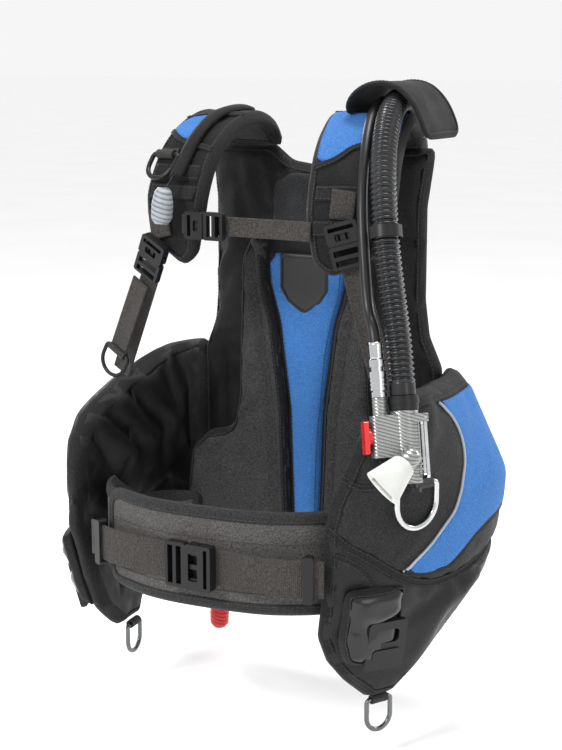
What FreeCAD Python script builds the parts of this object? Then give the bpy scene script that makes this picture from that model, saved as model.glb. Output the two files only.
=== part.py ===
"""Buoyancy compensator vest for scuba diving, in millimetres.

+Z is up, -Y is the wearer's front and +X is the wearer's left. The origin is on the tank's axis at the
middle of the tank band, because the tank is what carries the vest. Fabric pieces are plain closed
solids with the outer size of the stuffed fabric; hardware is modelled as it is made.
"""

import math
import os

import FreeCAD
import Part
from FreeCAD import Matrix, Vector

# ---- driving dimensions -------------------------------------------------------------------------
TANK_RADIUS = 92.1  # aluminium cylinder of 184 mm
BAND_WIDTH = 50.0
BAND_THICK = 2.6
GAP = 0.6  # room left between neighbouring pieces

BACK_BOTTOM = -165.0
BACK_TOP = 350.0
BACK_THICK = 24.0
NECK_DIP = 330.0
ARMHOLE_X = 129.0
BACK_HALF = 150.0
BACK_Y = -121.0  # middle of the back cell

STRAP_WIDTH = {1: 90.0, -1: 78.0}
STRAP_THICK = 14.0
STRAP_END_Z = 232.0
CREST_Z = 380.0
STRAP_X = {1: 91.0, -1: 83.0}  # where each strap crosses the crest
STRAP_YAW = {1: 14.0, -1: 7.0}  # outward splay of each strap, degrees
STRAP_TURN_Y = -165.0  # the splay turns about this line

WAIST_Z = -52.0
WAIST_WEB = 38.0
WEB_THICK = 2.4
BELT_Y = -376.0  # middle of the waist webbing in front of the cummerbund
CUMMERBUND_LOW = -99.0
CUMMERBUND_HIGH = 6.0

CHEST_Z = 276.0
CHEST_WEB = 20.0
SHOULDER_WEB = 25.0

HOSE_RADIUS = 13.0
LP_RADIUS = 5.5

LOBE_TOP = 122.0
LOBE_BOTTOM = {1: -190.0, -1: -178.0}
LEAN_Z = -55.0  # below this height a lobe leans inward and back
LEAN = {1: (0.17, 0.10), -1: (0.27, 0.08)}  # inward and backward run per unit of height
# plan line of each side lobe from the back cell to its front edge: x, y, thickness
LOBE_PLAN = {
    1: [(154, -104, 20), (176, -103, 26), (197, -122, 32), (211, -165, 36), (207, -225, 34),
        (189, -280, 30), (166, -320, 20), (136, -346, 12)],
    -1: [(-154, -104, 20), (-178, -101, 26), (-203, -118, 34), (-216, -165, 36), (-213, -225, 34),
         (-206, -275, 28), (-192, -312, 20), (-174, -338, 12)],
}

# the left lobe's upper part draws in toward the armhole: its plan line at the top
DRAW_IN_Z = 20.0
LOBE_TOP_PLAN = [(154, -104, 20), (161, -108, 22), (168, -126, 24), (174, -165, 26), (184, -225, 28),
                 (186, -280, 28), (166, -320, 20), (136, -346, 12)]

# top edge of each lobe seen from the side, from back to front: y, z
TOP_EDGE = {
    1: [(-92, 122), (-240, 120), (-254, 100), (-264, 84), (-318, 76), (-345, 56)],
    -1: [(-104, 122), (-165, 100), (-225, 84), (-280, 64), (-322, 48), (-340, 36)],
}

POUCH_SHARE = 0.82  # where along its lobe, from back to front, each weight pouch sits
POUCH_Z = -108.0
POUCH_WIDE = 56.0
POUCH_TALL = 88.0
POUCH_DEEP = 13.0
GRIP_BACK = 9.0  # how far behind the pouch's middle its grip sits
GRIP_LOW = -14.0

# the middle of both straps' thickness seen from the side, from the back seam to the tip: y, z, thickness
STRAP_LINE = [(-121, BACK_TOP + GAP, 16), (-131, 369, STRAP_THICK), (-156, CREST_Z, STRAP_THICK),
              (-192, 373, STRAP_THICK), (-228, 348, STRAP_THICK), (-252, 305, STRAP_THICK),
              (-258, 262, STRAP_THICK), (-258, STRAP_END_Z, 10)]

PLATE_FRONT = -103.0  # the plate's faces: toward the wearer, and toward the tank
PLATE_REAR = -96.0
SLOT_X = 70.0
HANDLE_Y = -96.5
HANDLE_Z = 248.0
SCREW_PLACES = [(-72, 60), (72, 60), (-64, 190), (64, 190)]

BUCKLE_ANGLE = 58.0  # where the cam buckle sits round the tank, degrees from +X toward +Y
SHOULDER_AT = {1: (-1, -258, 266), -1: (19, -258, 238)}  # buckle mouth on each strap: across, y, z
WEB_FOOT = {1: Vector(171, -272, 84), -1: Vector(-193, -236, 90)}  # where each load strip ends on its lobe
TAIL_LENGTH = 88.0  # the right strap's free end

# both hoses from the back, over the left shoulder, down to the inflator
HOSE_ROUTE = [(104, -84, 350), (104, -92, 378), (112, -128, 402), (122, -172, 402), (134, -216, 386),
              (149, -257, 349), (161, -277, 304), (171, -288, 258), (183, -297, 212), (194, -305, 168),
              (201, -312, 130)]
LP_ROUTE = [(74, -78, 148), (76, -77, 200), (79, -76, 252), (81, -78, 304), (82, -79, 352), (84, -92, 388),
            (92, -130, 402), (102, -172, 401), (113, -214, 385), (126, -252, 346), (136, -275, 300),
            (146, -288, 254), (156, -299, 206)]
LP_OFFSET = -23.0  # the pressure coupling's place beside the inflator's axis
CLIP_X = 18.0  # the wire clip's place beside the inflator's axis
MOUTH_ROOT = (-9, -25, -66)
MOUTH_TIP = (-33, -38, -86)

DUMP_ACROSS = -8.0  # the dump's sleeve and knob run down this line of the right strap
SLEEVE_LINE = [(-150, 392.2, 8), (-174, 390.9, 8), (-197.3, 385.2, 8), (-220.6, 372.6, 8), (-238.6, 356.4, 7)]
KNOB_TOP = (-285, 314)
KNOB_LOW = (-289, 276)
REAR_CORD = Vector(-1, 4, -22)  # where the cord leaves the rear dump's housing
REAR_KNOB = (-129, -121, -192)
REAR_VALVE_Y = -96.0

UP = Vector(0, 0, 1)
FRONT = Vector(0, -1, 0)
NAME = {1: "left", -1: "right"}
NODES = {}
TUBE_RADII = []  # the arcs' radii of every tube made so far
TABS = []
HINGES = {}


# ---- small helpers ------------------------------------------------------------------------------
def keep(name, *solids):
    """Files one sub-part, made of one or more separate solids."""
    NODES[name] = [solid for shape in solids for solid in shape.Solids]


def box(x0, x1, y0, y1, z0, z1):
    return Part.makeBox(x1 - x0, y1 - y0, z1 - z0, Vector(x0, y0, z0))


def rounded_box(x0, x1, y0, y1, z0, z1, radius, axis="Y"):
    """A box whose four edges along one axis are rounded."""
    solid = box(x0, x1, y0, y1, z0, z1)
    along = {"X": Vector(1, 0, 0), "Y": Vector(0, 1, 0), "Z": Vector(0, 0, 1)}[axis]
    edges = [e for e in solid.Edges if abs(e.tangentAt(e.FirstParameter).dot(along)) > 0.99]
    return solid.makeFillet(radius, edges)


def rod(start, end, radius):
    start, end = Vector(start), Vector(end)
    return Part.makeCylinder(radius, (end - start).Length, start, end - start)


def placed(shape, origin, x_axis, normal):
    """Moves a shape from its local frame, where -Y faces out of the surface, to a place on the vest."""
    y_axis = (normal * -1).normalize()
    x_axis = (x_axis - y_axis * x_axis.dot(y_axis)).normalize()
    z_axis = x_axis.cross(y_axis)
    m = Matrix(x_axis.x, y_axis.x, z_axis.x, origin.x,
               x_axis.y, y_axis.y, z_axis.y, origin.y,
               x_axis.z, y_axis.z, z_axis.z, origin.z, 0, 0, 0, 1)
    return shape.transformed(m)


def to_world(point, origin, x_axis, normal):
    y_axis = (normal * -1).normalize()
    x_axis = (x_axis - y_axis * x_axis.dot(y_axis)).normalize()
    z_axis = x_axis.cross(y_axis)
    return origin + x_axis * point[0] + y_axis * point[1] + z_axis * point[2]


def spline(points):
    curve = Part.BSplineCurve()
    curve.interpolate([Vector(p) for p in points])
    return curve


def band_face(line, to_3d):
    """A face of varying width along a smooth plane line of (u, v, width), mapped to 3D by to_3d."""
    middle = spline([(u, v, 0) for u, v, _ in line])
    left, right = [], []
    for u, v, width in line:
        tangent = middle.tangent(middle.parameter(Vector(u, v, 0)))[0]
        side = Vector(-tangent.y, tangent.x, 0) * (width / 2)
        left.append(Vector(u, v, 0) + side)
        right.append(Vector(u, v, 0) - side)
    left = [to_3d(p.x, p.y) for p in left]
    right = [to_3d(p.x, p.y) for p in right]
    edges = [spline(left).toShape(), Part.LineSegment(left[-1], right[-1]).toShape(),
             spline(right[::-1]).toShape(), Part.LineSegment(right[0], left[0]).toShape()]
    return Part.Face(Part.Wire(edges))


def plan_rim(line, z):
    return band_face(line, lambda x, y: Vector(x, y, z)).OuterWire


def plan_band(line, z0, z1):
    return band_face(line, lambda x, y: Vector(x, y, z0)).extrude(Vector(0, 0, z1 - z0))


def side_band(line, x0, x1):
    return band_face(line, lambda y, z: Vector(x0, y, z)).extrude(Vector(x1 - x0, 0, 0))


def outline_wire(points, to_3d):
    """A closed outline: plain corners, and a point marked 'arc' is passed by an arc between its neighbours."""
    edges, i, n = [], 0, len(points)
    while i < n:
        a, b = points[i], points[(i + 1) % n]
        if len(b) > 2:
            c = points[(i + 2) % n]
            edges.append(Part.Arc(to_3d(*a[:2]), to_3d(*b[:2]), to_3d(*c[:2])).toShape())
            i += 2
        else:
            edges.append(Part.LineSegment(to_3d(*a[:2]), to_3d(*b[:2])).toShape())
            i += 1
    return Part.Wire(edges)


def xz_prism(points, y0, y1):
    return Part.Face(outline_wire(points, lambda x, z: Vector(x, y0, z))).extrude(Vector(0, y1 - y0, 0))


def yz_prism(points, x0, x1):
    return Part.Face(outline_wire(points, lambda y, z: Vector(x0, y, z))).extrude(Vector(x1 - x0, 0, 0))


def xy_prism(points, z0, z1):
    return Part.Face(outline_wire(points, lambda x, y: Vector(x, y, z0))).extrude(Vector(0, 0, z1 - z0))


def mirrored(points, side):
    return [(p[0] * side, *p[1:]) for p in points]


def one(shape):
    """The single solid of a Boolean result."""
    return max(shape.Solids, key=lambda s: s.Volume)


def tube(points, radius):
    """A round tube along straight runs joined by tangent arcs as large as the runs allow."""
    points = [Vector(p) for p in points]
    edges, at = [], points[0]
    for before, here, after in zip(points, points[1:], points[2:]):
        reach = 0.45 * min((here - before).Length, (after - here).Length)
        arrive, leave = (here - before).normalize(), (after - here).normalize()
        start, end = here - arrive * reach, here + leave * reach
        half_turn = arrive.getAngle(leave) / 2
        arc_radius = reach / math.tan(half_turn)
        toward = (leave - arrive).normalize()
        middle = here + toward * (arc_radius / math.cos(half_turn) - arc_radius)
        edges.append(Part.LineSegment(at, start).toShape())
        edges.append(Part.Arc(start, middle, end).toShape())
        at = end
        TUBE_RADII.append(arc_radius)
    edges.append(Part.LineSegment(at, points[-1]).toShape())
    path = Part.Wire(edges)
    profile = Part.Wire([Part.Circle(points[0], points[1] - points[0], radius).toShape()])
    solid = path.makePipeShell([profile], True, False)
    expected = path.Length * math.pi * radius ** 2
    print(f"tube length {path.Length:.0f}, volume share {solid.Volume / expected:.3f}, "
          f"least radius {min(TUBE_RADII[-len(points) + 2:]):.0f}")
    return solid


def lobe_place(side, share, z, proud):
    """A point on a side lobe's outer face, and that face's outward normal; share runs from back to front."""
    line = LOBE_PLAN[side]
    middle = spline([(x, y, 0) for x, y, _ in line])
    at = share * (len(line) - 1)
    i = min(int(at), len(line) - 2)
    pa = middle.parameter(Vector(line[i][0], line[i][1], 0))
    pb = middle.parameter(Vector(line[i + 1][0], line[i + 1][1], 0))
    parameter = pa + (pb - pa) * (at - i)
    thick = line[i][2] + (line[i + 1][2] - line[i][2]) * (at - i)
    point = middle.value(parameter)
    tangent = middle.tangent(parameter)[0]
    outward = Vector(tangent.y, -tangent.x, 0) * -side
    if z >= LEAN_Z:
        return Vector(point.x, point.y, z) + outward * (thick / 2 + proud), outward
    inward, back = LEAN[side]
    slope = Vector(side * inward, -back, 1)
    foot = point + slope * (z - LEAN_Z)
    normal = tangent.cross(slope).normalize()
    if normal.dot(outward) < 0:
        normal = normal * -1
    return Vector(foot.x, foot.y, z) + normal * (thick / 2 * normal.dot(outward) + proud), normal


def lobe_axes(side, share, z, proud=0.0):
    """Origin, local X and normal for a piece mounted on a lobe's outer face; the piece stands upright."""
    origin, normal = lobe_place(side, share, z, proud)
    return origin, UP.cross(normal), normal


# ---- fabric -------------------------------------------------------------------------------------
def back_cell():
    """The air cell behind the wearer, with the neck and both armholes cut in its outline."""
    line = [(-BACK_HALF, -105, BACK_THICK - 4), (-95, -117, BACK_THICK), (0, BACK_Y, BACK_THICK),
            (95, -117, BACK_THICK), (BACK_HALF, -105, BACK_THICK - 4)]
    sheet = plan_band(line, BACK_BOTTOM, BACK_TOP)
    half = [(0, BACK_BOTTOM), (100, BACK_BOTTOM), (BACK_HALF - 4, -120), (BACK_HALF - 2, LOBE_TOP - 6),
            (134, 150, "arc"), (ARMHOLE_X, 190), (ARMHOLE_X, 290), (136, BACK_TOP - 8), (136, BACK_TOP),
            (50, BACK_TOP), (28, 334, "arc"), (0, NECK_DIP)]
    outline = half + [(-p[0], *p[1:]) for p in half[-2:0:-1]]
    return one(sheet.common(xz_prism(outline, -160, -70)))


def side_lobe(side):
    """One side lobe: an upright plan band above, a leaning one below, cut to its outline seen from the side."""
    line = LOBE_PLAN[side]
    bottom = LOBE_BOTTOM[side]
    low = bottom - 5
    upper = plan_band(line, LEAN_Z, LOBE_TOP + 5)
    if side > 0:
        rims = [plan_rim(line, DRAW_IN_Z), plan_rim(LOBE_TOP_PLAN, LOBE_TOP + 5)]
        upper = plan_band(line, LEAN_Z, DRAW_IN_Z).fuse(Part.makeLoft(rims, True, True))
    face = band_face(line, lambda x, y: Vector(x, y, LEAN_Z))
    inward, back = LEAN[side]
    lower = face.extrude(Vector(-side * inward, back, -1) * (LEAN_Z - low))
    sheet = upper.fuse(lower)
    front = line[-1][1] - 12
    outline = [(-60, -36), (-60, 128)] + TOP_EDGE[side] + [
        (front, 24), (front, -95), (front + 24, -160, "arc"), (front + 72, bottom), (-262, bottom),
        (-180, -122), (-95, -60)]
    lobe = sheet.common(yz_prism(outline, *sorted((100 * side, 260 * side))))
    if side < 0:
        lobe = lobe.cut(xz_prism([(-160, 126), (-240, 44), (-240, 140), (-160, 140)], -150, -60))
    lobe = one(lobe)
    wide, tall = POUCH_WIDE / 2 + 2, POUCH_TALL / 2 + 2
    recess = rounded_box(-wide, wide, -30, POUCH_DEEP + 1.5, -tall, tall, 7)
    return one(lobe.cut(placed(recess, *lobe_axes(side, POUCH_SHARE, POUCH_Z))))


def weight_pouch(side):
    """The ballast pouch in a lobe's recess, and the pinch grip plate standing proud of it."""
    axes = lobe_axes(side, POUCH_SHARE, POUCH_Z)
    back = GRIP_BACK * side
    pouch = rounded_box(-POUCH_WIDE / 2, POUCH_WIDE / 2, 0.5, POUCH_DEEP, -POUCH_TALL / 2, POUCH_TALL / 2, 6)
    stem = box(back - 7, back + 7, -7, 1, GRIP_LOW - 20, GRIP_LOW - 8)
    keep(f"{NAME[side]}_weight_pouch", placed(pouch.fuse(stem).removeSplitter(), *axes))
    grip = rounded_box(back - 22, back + 22, -12.5, -7.4, GRIP_LOW - 27, GRIP_LOW + 27, 5)
    hole = rounded_box(back - 13, back + 13, -14, -6, GRIP_LOW + 3, GRIP_LOW + 18, 5)
    rib = rounded_box(back - 16, back + 16, -14, -12, GRIP_LOW - 16, GRIP_LOW - 4, 4)
    keep(f"{NAME[side]}_pouch_grip", placed(grip.cut(hole).fuse(rib).removeSplitter(), *axes))


def strap_frame(side):
    """Turns a strap made about X = 0 into place: splay about a vertical line, then shift."""
    turn = FreeCAD.Rotation(UP, STRAP_YAW[side] * side)
    pivot = Vector(0, STRAP_TURN_Y, 0)
    move = Vector(STRAP_X[side] * side, 0, 0)
    return FreeCAD.Placement(move, turn, pivot)


def shoulder_strap(side):
    """A padded strap from the back cell over the shoulder to the chest, its inner corner running to a tip."""
    w = STRAP_WIDTH[side] / 2
    sheet = side_band(STRAP_LINE, -w, w)
    half = [(-w, 420), (w, 420), (w, 300), (w - 10, 262, "arc"), (w - 34, 244), (-w + 26, STRAP_END_Z),
            (-w + 10, 248, "arc"), (-w, 290)]
    if side > 0:
        outline = half
    else:
        outline = [(-p[0], *p[1:]) for p in half][::-1]
    below_seam = box(-60, 60, -150, -90, 300, BACK_TOP + GAP)
    shape = one(sheet.common(xz_prism(outline, -300, -90)).cut(below_seam))
    shape.Placement = strap_frame(side).multiply(shape.Placement)
    return shape


def strap_point(side, across, y, z):
    """A point given across the strap (outward positive) and in its own unsplayed frame."""
    return strap_frame(side).multVec(Vector(across * side, y, z))


def strap_normal(side, y=-1.0, z=0.0):
    n = FreeCAD.Rotation(UP, STRAP_YAW[side] * side).multVec(Vector(0, y, z))
    return n.normalize()


def back_pads():
    """Two black side pads and the coloured spine panel between them, in front of the back cell."""
    y_back = BACK_Y - BACK_THICK / 2 - GAP
    y_front = y_back - 18
    pads = []
    for side in (1, -1):
        outline = [(17, -118), (150, -118), (158, -60), (146, -4), (112, 26, "arc"), (88, 62), (84, 150),
                   (82, 225), (70, 252, "arc"), (52, 254), (50, 200), (37, 158), (24, 60)]
        pads.append(xz_prism(mirrored(outline, side), y_back, y_front))
    keep("back_pads", *pads)
    spine = [(-15.5, -118), (15.5, -118), (22.5, 60), (35.5, 158), (48.5, 200), (50, 234), (25, 234), (25, 172),
             (0, 166, "arc"), (-25, 172), (-25, 234), (-50, 234), (-48.5, 200), (-35.5, 158), (-22.5, 60)]
    keep("spine_panel", xz_prism(spine, y_back, y_back - 12))
    patch = [(-23, 173.5), (0, 168, "arc"), (23, 173.5), (23, 238), (0, 232, "arc"), (-23, 238)]
    keep("neck_patch", xz_prism(patch, y_back, y_back - 14))


def backpack():
    """The moulded back plate: ribs that cradle the tank, slots for the band and lugs for the handle."""
    half = [(0, -112), (62, -112), (84, -60, "arc"), (86, 0), (72, 120, "arc"), (60, 246), (50, 258), (0, 258)]
    outline = half + [(-p[0], *p[1:]) for p in half[-2:0:-1]]
    plate = xz_prism(outline, PLATE_FRONT, PLATE_REAR)
    for side in (1, -1):
        for low, high in ((-105, -30), (30, 228)):
            plate = plate.fuse(box(*sorted((44 * side, 58 * side)), PLATE_REAR - 1, -70, low, high))
        slot = box(*sorted(((SLOT_X - 4.5) * side, (SLOT_X + 4.5) * side)), PLATE_FRONT - 2, PLATE_REAR + 2,
                   -BAND_WIDTH / 2 - 1.5, BAND_WIDTH / 2 + 1.5)
        window = rounded_box(*sorted((12 * side, 36 * side)), PLATE_FRONT - 2, PLATE_REAR + 2, 60, 200, 8)
        lug = rounded_box(*sorted((40 * side, 46 * side)), PLATE_REAR - 2, PLATE_REAR + 4.5, 237, 257, 3, "X")
        pin_hole = rod((35 * side, HANDLE_Y, HANDLE_Z), (50 * side, HANDLE_Y, HANDLE_Z), 2.7)
        plate = plate.cut(slot).cut(window).fuse(lug).cut(pin_hole)
    relief = box(-39.6, 39.6, PLATE_FRONT - 1, PLATE_REAR + 1, 242, 262)
    bore = Part.makeCylinder(TANK_RADIUS + 0.9, 420, Vector(0, 0, -150))
    for x, z in SCREW_PLACES:
        plate = plate.cut(rod((x, PLATE_FRONT - 1, z), (x, PLATE_REAR + 1, z), 2.9))
    keep("backpack_plate", one(plate.cut(relief).cut(bore).removeSplitter()))
    screws = []
    for x, z in SCREW_PLACES:
        shank = rod((x, PLATE_FRONT - 2, z), (x, PLATE_REAR + 0.5, z), 2.5)
        head = rod((x, PLATE_REAR + 0.4, z), (x, PLATE_REAR + 2.6, z), 5)
        drive = rod((x, PLATE_REAR + 1.4, z), (x, PLATE_REAR + 4, z), 2.2)
        screws.append(shank.fuse(head).cut(drive).removeSplitter())
    keep("plate_screws", *screws)


def carry_handle():
    """A bail with a thick grip that hinges in the back plate's lugs."""
    pins = [rod((36 * s, HANDLE_Y, HANDLE_Z), (46 * s, HANDLE_Y, HANDLE_Z), 2.3) for s in (1, -1)]
    legs = [box(*sorted((34.4 * s, 39.2 * s)), HANDLE_Y - 3, HANDLE_Y + 3, HANDLE_Z - 3.5, HANDLE_Z + 32)
            for s in (1, -1)]
    grip = rounded_box(-39.2, 39.2, HANDLE_Y - 7, HANDLE_Y + 2, HANDLE_Z + 28, HANDLE_Z + 42, 4, "X")
    keep("carry_handle", one(grip.fuse(pins + legs).removeSplitter()))


def tank_band():
    """The webbing band: round the tank, through the plate's slots and across behind the back cell."""
    r = TANK_RADIUS + BAND_THICK / 2 + 0.2
    front = Vector(SLOT_X, PLATE_FRONT - BAND_THICK / 2 - 0.2, 0)
    lean = math.acos(r / front.Length)
    angle = math.atan2(front.y, front.x) + lean
    leave = Vector(r * math.cos(angle), r * math.sin(angle), 0)
    toward = (front - leave).normalize()
    corner = 3.0 / math.tan((math.pi - toward.getAngle(Vector(-1, 0, 0))) / 2)
    start, end = front - toward * corner, front - Vector(corner, 0, 0)
    inward = (Vector(-1, 0, 0) - toward).normalize()
    middle = start + (end - start) * 0.5 - inward * ((end - start).Length * 0.18)
    flip = [Vector(-p.x, p.y, 0) for p in (leave, start, middle, end)]
    edges = [Part.Arc(leave, Vector(0, r, 0), flip[0]).toShape(), Part.LineSegment(flip[0], flip[1]).toShape(),
             Part.Arc(flip[1], flip[2], flip[3]).toShape(), Part.LineSegment(flip[3], end).toShape(),
             Part.Arc(end, middle, start).toShape(), Part.LineSegment(start, leave).toShape()]
    line = Part.Wire(edges)
    rings = [line.makeOffset2D(d) for d in (BAND_THICK / 2, -BAND_THICK / 2)]
    face = Part.Face(rings[0]).cut(Part.Face(rings[1]))
    band = face.extrude(Vector(0, 0, BAND_WIDTH))
    band.translate(Vector(0, 0, -BAND_WIDTH / 2))
    keep("tank_band", one(band))


def cam_axes():
    out = Vector(math.cos(math.radians(BUCKLE_ANGLE)), math.sin(math.radians(BUCKLE_ANGLE)), 0)
    return out * (TANK_RADIUS + BAND_THICK + 1.2), UP.cross(out), out


def cam_buckle():
    """The over-centre buckle of the tank band: a slotted body and a lever hinged across it."""
    axes = cam_axes()
    half = BAND_WIDTH / 2 + 5
    body = rounded_box(-26, 26, -4, 0, -half, half, 3)
    for x in (-21, -9):
        body = body.cut(box(x, x + 5, -5, 1, -BAND_WIDTH / 2 - 1, BAND_WIDTH / 2 + 1))
    for s in (1, -1):
        cheek = rounded_box(8, 24, -16, -1, *sorted(((half - 4) * s, half * s)), 2.5, "Z")
        body = body.fuse(cheek)
    body = body.cut(rod((16, -11, -half - 1), (16, -11, half + 1), 2.6))
    keep("cam_buckle_body", placed(one(body.removeSplitter()), *axes))
    reach = half - 4.6
    lever = rounded_box(-24, 21, -15, -9.5, -reach, reach, 2, "Z")
    barrel = rod((16, -11, -reach), (16, -11, reach), 4.6)
    pin = rod((16, -11, -half), (16, -11, half), 2.2)
    lip = rounded_box(-24, -19, -18, -10, -reach, reach, 1.5, "Z")
    cut_out = rounded_box(-13, 4, -16, -8, -16, 16, 4)
    keep("cam_buckle_lever", placed(one(lever.fuse([barrel, pin, lip]).cut(cut_out).removeSplitter()), *axes))


def cummerbund():
    """Two elastic halves round the waist; the left half laps over the right one in front."""
    left = [(132, -157, 5), (158, -180, 5), (168, -225, 5), (157, -282, 5), (127, -322, 5), (84, -351, 5),
            (10, -367, 5), (-60, -366.6, 5), (-108, -351, 5)]
    right = [(-132, -157, 5), (-160, -180, 5), (-172, -225, 5), (-164, -282, 5), (-138, -321, 5),
             (-100, -342, 5), (-58, -356, 5), (10, -361, 5), (60, -355, 5)]
    low, high = CUMMERBUND_LOW, CUMMERBUND_HIGH
    front_left = [(-125, low + 30), (-116, low + 8, "arc"), (-90, low), (200, low), (200, high), (-92, high),
                  (-117, high - 8, "arc"), (-125, high - 26)]
    left_half = plan_band(left, low, high).common(xz_prism(front_left, -400, -100))
    keep("cummerbund", one(left_half), plan_band(right, low + 3, high - 3))


# ---- hardware made in a local frame -------------------------------------------------------------
def buckle_parts(web):
    """A side-release buckle. Local X runs from plug (-) to socket (+), -Y faces out, Z is the web's width."""
    w = web / 2 + 4.5
    t = 5.5 if web > 30 else 4.5
    length = 30 if web > 30 else 22
    prong = 17 if web > 30 else 13
    socket = rounded_box(0, length, -t, t, -w, w, 3)
    cavity = box(-1, prong + 2, -t + 2, t - 2, -w + 2.5, w - 2.5)
    windows = box(5, prong - 1, -t + 2, t - 2, -w - 1, w + 1)
    web_slot = box(length - 8, length - 4, -t - 1, t + 1, -web / 2 - 0.8, web / 2 + 0.8)
    view_slot = rounded_box(4, prong - 2, -t - 1, -t + 3, -w + 9, w - 9, 2)
    socket = socket.cut(cavity).cut(windows).cut(web_slot).cut(view_slot)
    plug = rounded_box(-24, -0.5, -t + 1, t - 1, -w, w, 3)
    for x in (-21, -11):
        plug = plug.cut(box(x, x + 6, -t - 1, t + 1, -web / 2 - 0.8, web / 2 + 0.8))
    tongue = box(-1, prong, -t + 2.6, t - 2.6, -2.5, 2.5)
    plug = plug.fuse(tongue)
    prongs = []
    for s in (1, -1):
        base = w - 7.5
        arm = [(-0.1, base * s), (prong - 3, (base + 1) * s), (prong, (base - 2) * s), (prong, (base - 4) * s),
               (-0.1, (base - 4) * s)]
        barb = [(5.5, (base + 0.8) * s), (5.5, (w + 1.5) * s), (prong - 4, (w - 1) * s), (prong - 2, (base + 0.8) * s)]
        shape = xz_prism(arm, -t + 2.6, t - 2.6).fuse(xz_prism(barb, -t + 2.6, t - 2.6))
        prongs.append(one(shape.removeSplitter()))
    return socket, plug, prongs


def buckle(name, web, origin, x_axis, normal):
    socket, plug, prongs = buckle_parts(web)
    keep(f"{name}_socket", placed(socket, origin, x_axis, normal))
    keep(f"{name}_plug", placed(plug, origin, x_axis, normal))
    keep(f"{name}_prongs", *[placed(p, origin, x_axis, normal) for p in prongs])


def bent_rod(start, centre, radius, angle):
    """A round rod bent about local Y through a centre; it leaves the start along local Z."""
    face = Part.Face(Part.Wire([Part.makeCircle(radius, Vector(start), UP)]))
    return face.revolve(Vector(centre), Vector(0, 1, 0), angle)


def dring(width, drop, radius):
    """A D-ring with its straight bar along local X through the local origin, hanging down local -Z."""
    w = width / 2
    corner = 4
    pieces = [rod((corner - w, 0, 0), (w - corner, 0, 0), radius)]
    for s in (1, -1):
        pieces.append(rod((s * w, 0, -corner), (s * w, 0, w - drop), radius))
        pieces.append(bent_rod((s * w, 0, -corner), (s * (w - corner), 0, -corner), radius, -s * 90))
    pieces.append(bent_rod((w, 0, w - drop), (0, 0, w - drop), radius, 180))
    return one(pieces[0].fuse(pieces[1:]))


def dring_tab(width, radius, rise, back):
    """A webbing tab that wraps the ring's bar and runs up the fabric; back is how far behind the bar it lies."""
    outer = radius + 2.3
    wrap = rod((-width / 2, 0, 0), (width / 2, 0, 0), outer)
    tail = box(-width / 2, width / 2, back - 2, back, -1, rise)
    bridge = box(-width / 2, width / 2, 0, back, -outer * 0.6, outer * 0.8)
    hole = rod((-width, 0, 0), (width, 0, 0), radius + 0.3)
    return one(wrap.fuse([tail, bridge]).cut(hole).removeSplitter())


def web_strip(start, end, normal, width, thick=WEB_THICK):
    """A flat webbing strip between two points, its broad face along the given normal."""
    start, end = Vector(start), Vector(end)
    along = end - start
    strip = box(0, along.Length, -thick / 2, thick / 2, -width / 2, width / 2)
    return placed(strip, start, along, normal)


# ---- assemblies ---------------------------------------------------------------------------------
def waist_belt():
    origin = Vector(0, BELT_Y - 8, WAIST_Z)
    buckle("waist_buckle", WAIST_WEB, origin, Vector(1, 0, 0), FRONT)
    half = WAIST_WEB / 2
    left = [(21, BELT_Y, WEB_THICK), (60, BELT_Y, WEB_THICK), (98, BELT_Y + 3.5, WEB_THICK),
            (141, BELT_Y + 19, WEB_THICK)]
    right = [(-12, BELT_Y, WEB_THICK), (-60, BELT_Y, WEB_THICK), (-104, BELT_Y + 6.5, WEB_THICK),
             (-141, BELT_Y + 24, WEB_THICK)]
    keep("waist_webbing", *[plan_band(line, WAIST_Z - half, WAIST_Z + half) for line in (left, right)])
    loops = []
    for line, x in ((left, 127), (right, -122)):
        curve = spline([(px, py, 0) for px, py, _ in line])
        parameter = curve.parameter(Vector(x, BELT_Y + 13, 0))
        point, tangent = curve.value(parameter), curve.tangent(parameter)[0]
        normal = Vector(tangent.y, -tangent.x, 0)
        normal = normal * (-1 if normal.y > 0 else 1)
        frame = rounded_box(-5, 5, -5.2, 5.2, -half - 5, half + 5, 2.5).cut(
            box(-6, 6, -2.6, 2.6, -half - 1.5, half + 1.5))
        loops.append(placed(frame, Vector(point.x, point.y, WAIST_Z), UP.cross(normal), normal))
    keep("waist_loops", *loops)


def chest_strap():
    """The sternum strap: the socket is on the right strap, the plug on the webbing from the left one."""
    y = -279.0
    buckle("chest_buckle", CHEST_WEB, Vector(-44, y, CHEST_Z), Vector(-1, 0, 0), FRONT)
    half = CHEST_WEB / 2
    end = strap_point(1, -STRAP_WIDTH[1] / 2, -258, CHEST_Z).x + 10
    left = [(-32, y + 6.2, 2), (20, y + 6.2, 2), (60, y + 4.2, 2), (end, y + 3.2, 2)]
    right = [(-59, y + 6.2, 2), (-68, y + 7, 2), (-76, y + 8.4, 2)]
    keep("chest_webbing", *[plan_band(line, CHEST_Z - half, CHEST_Z + half) for line in (left, right)])


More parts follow.
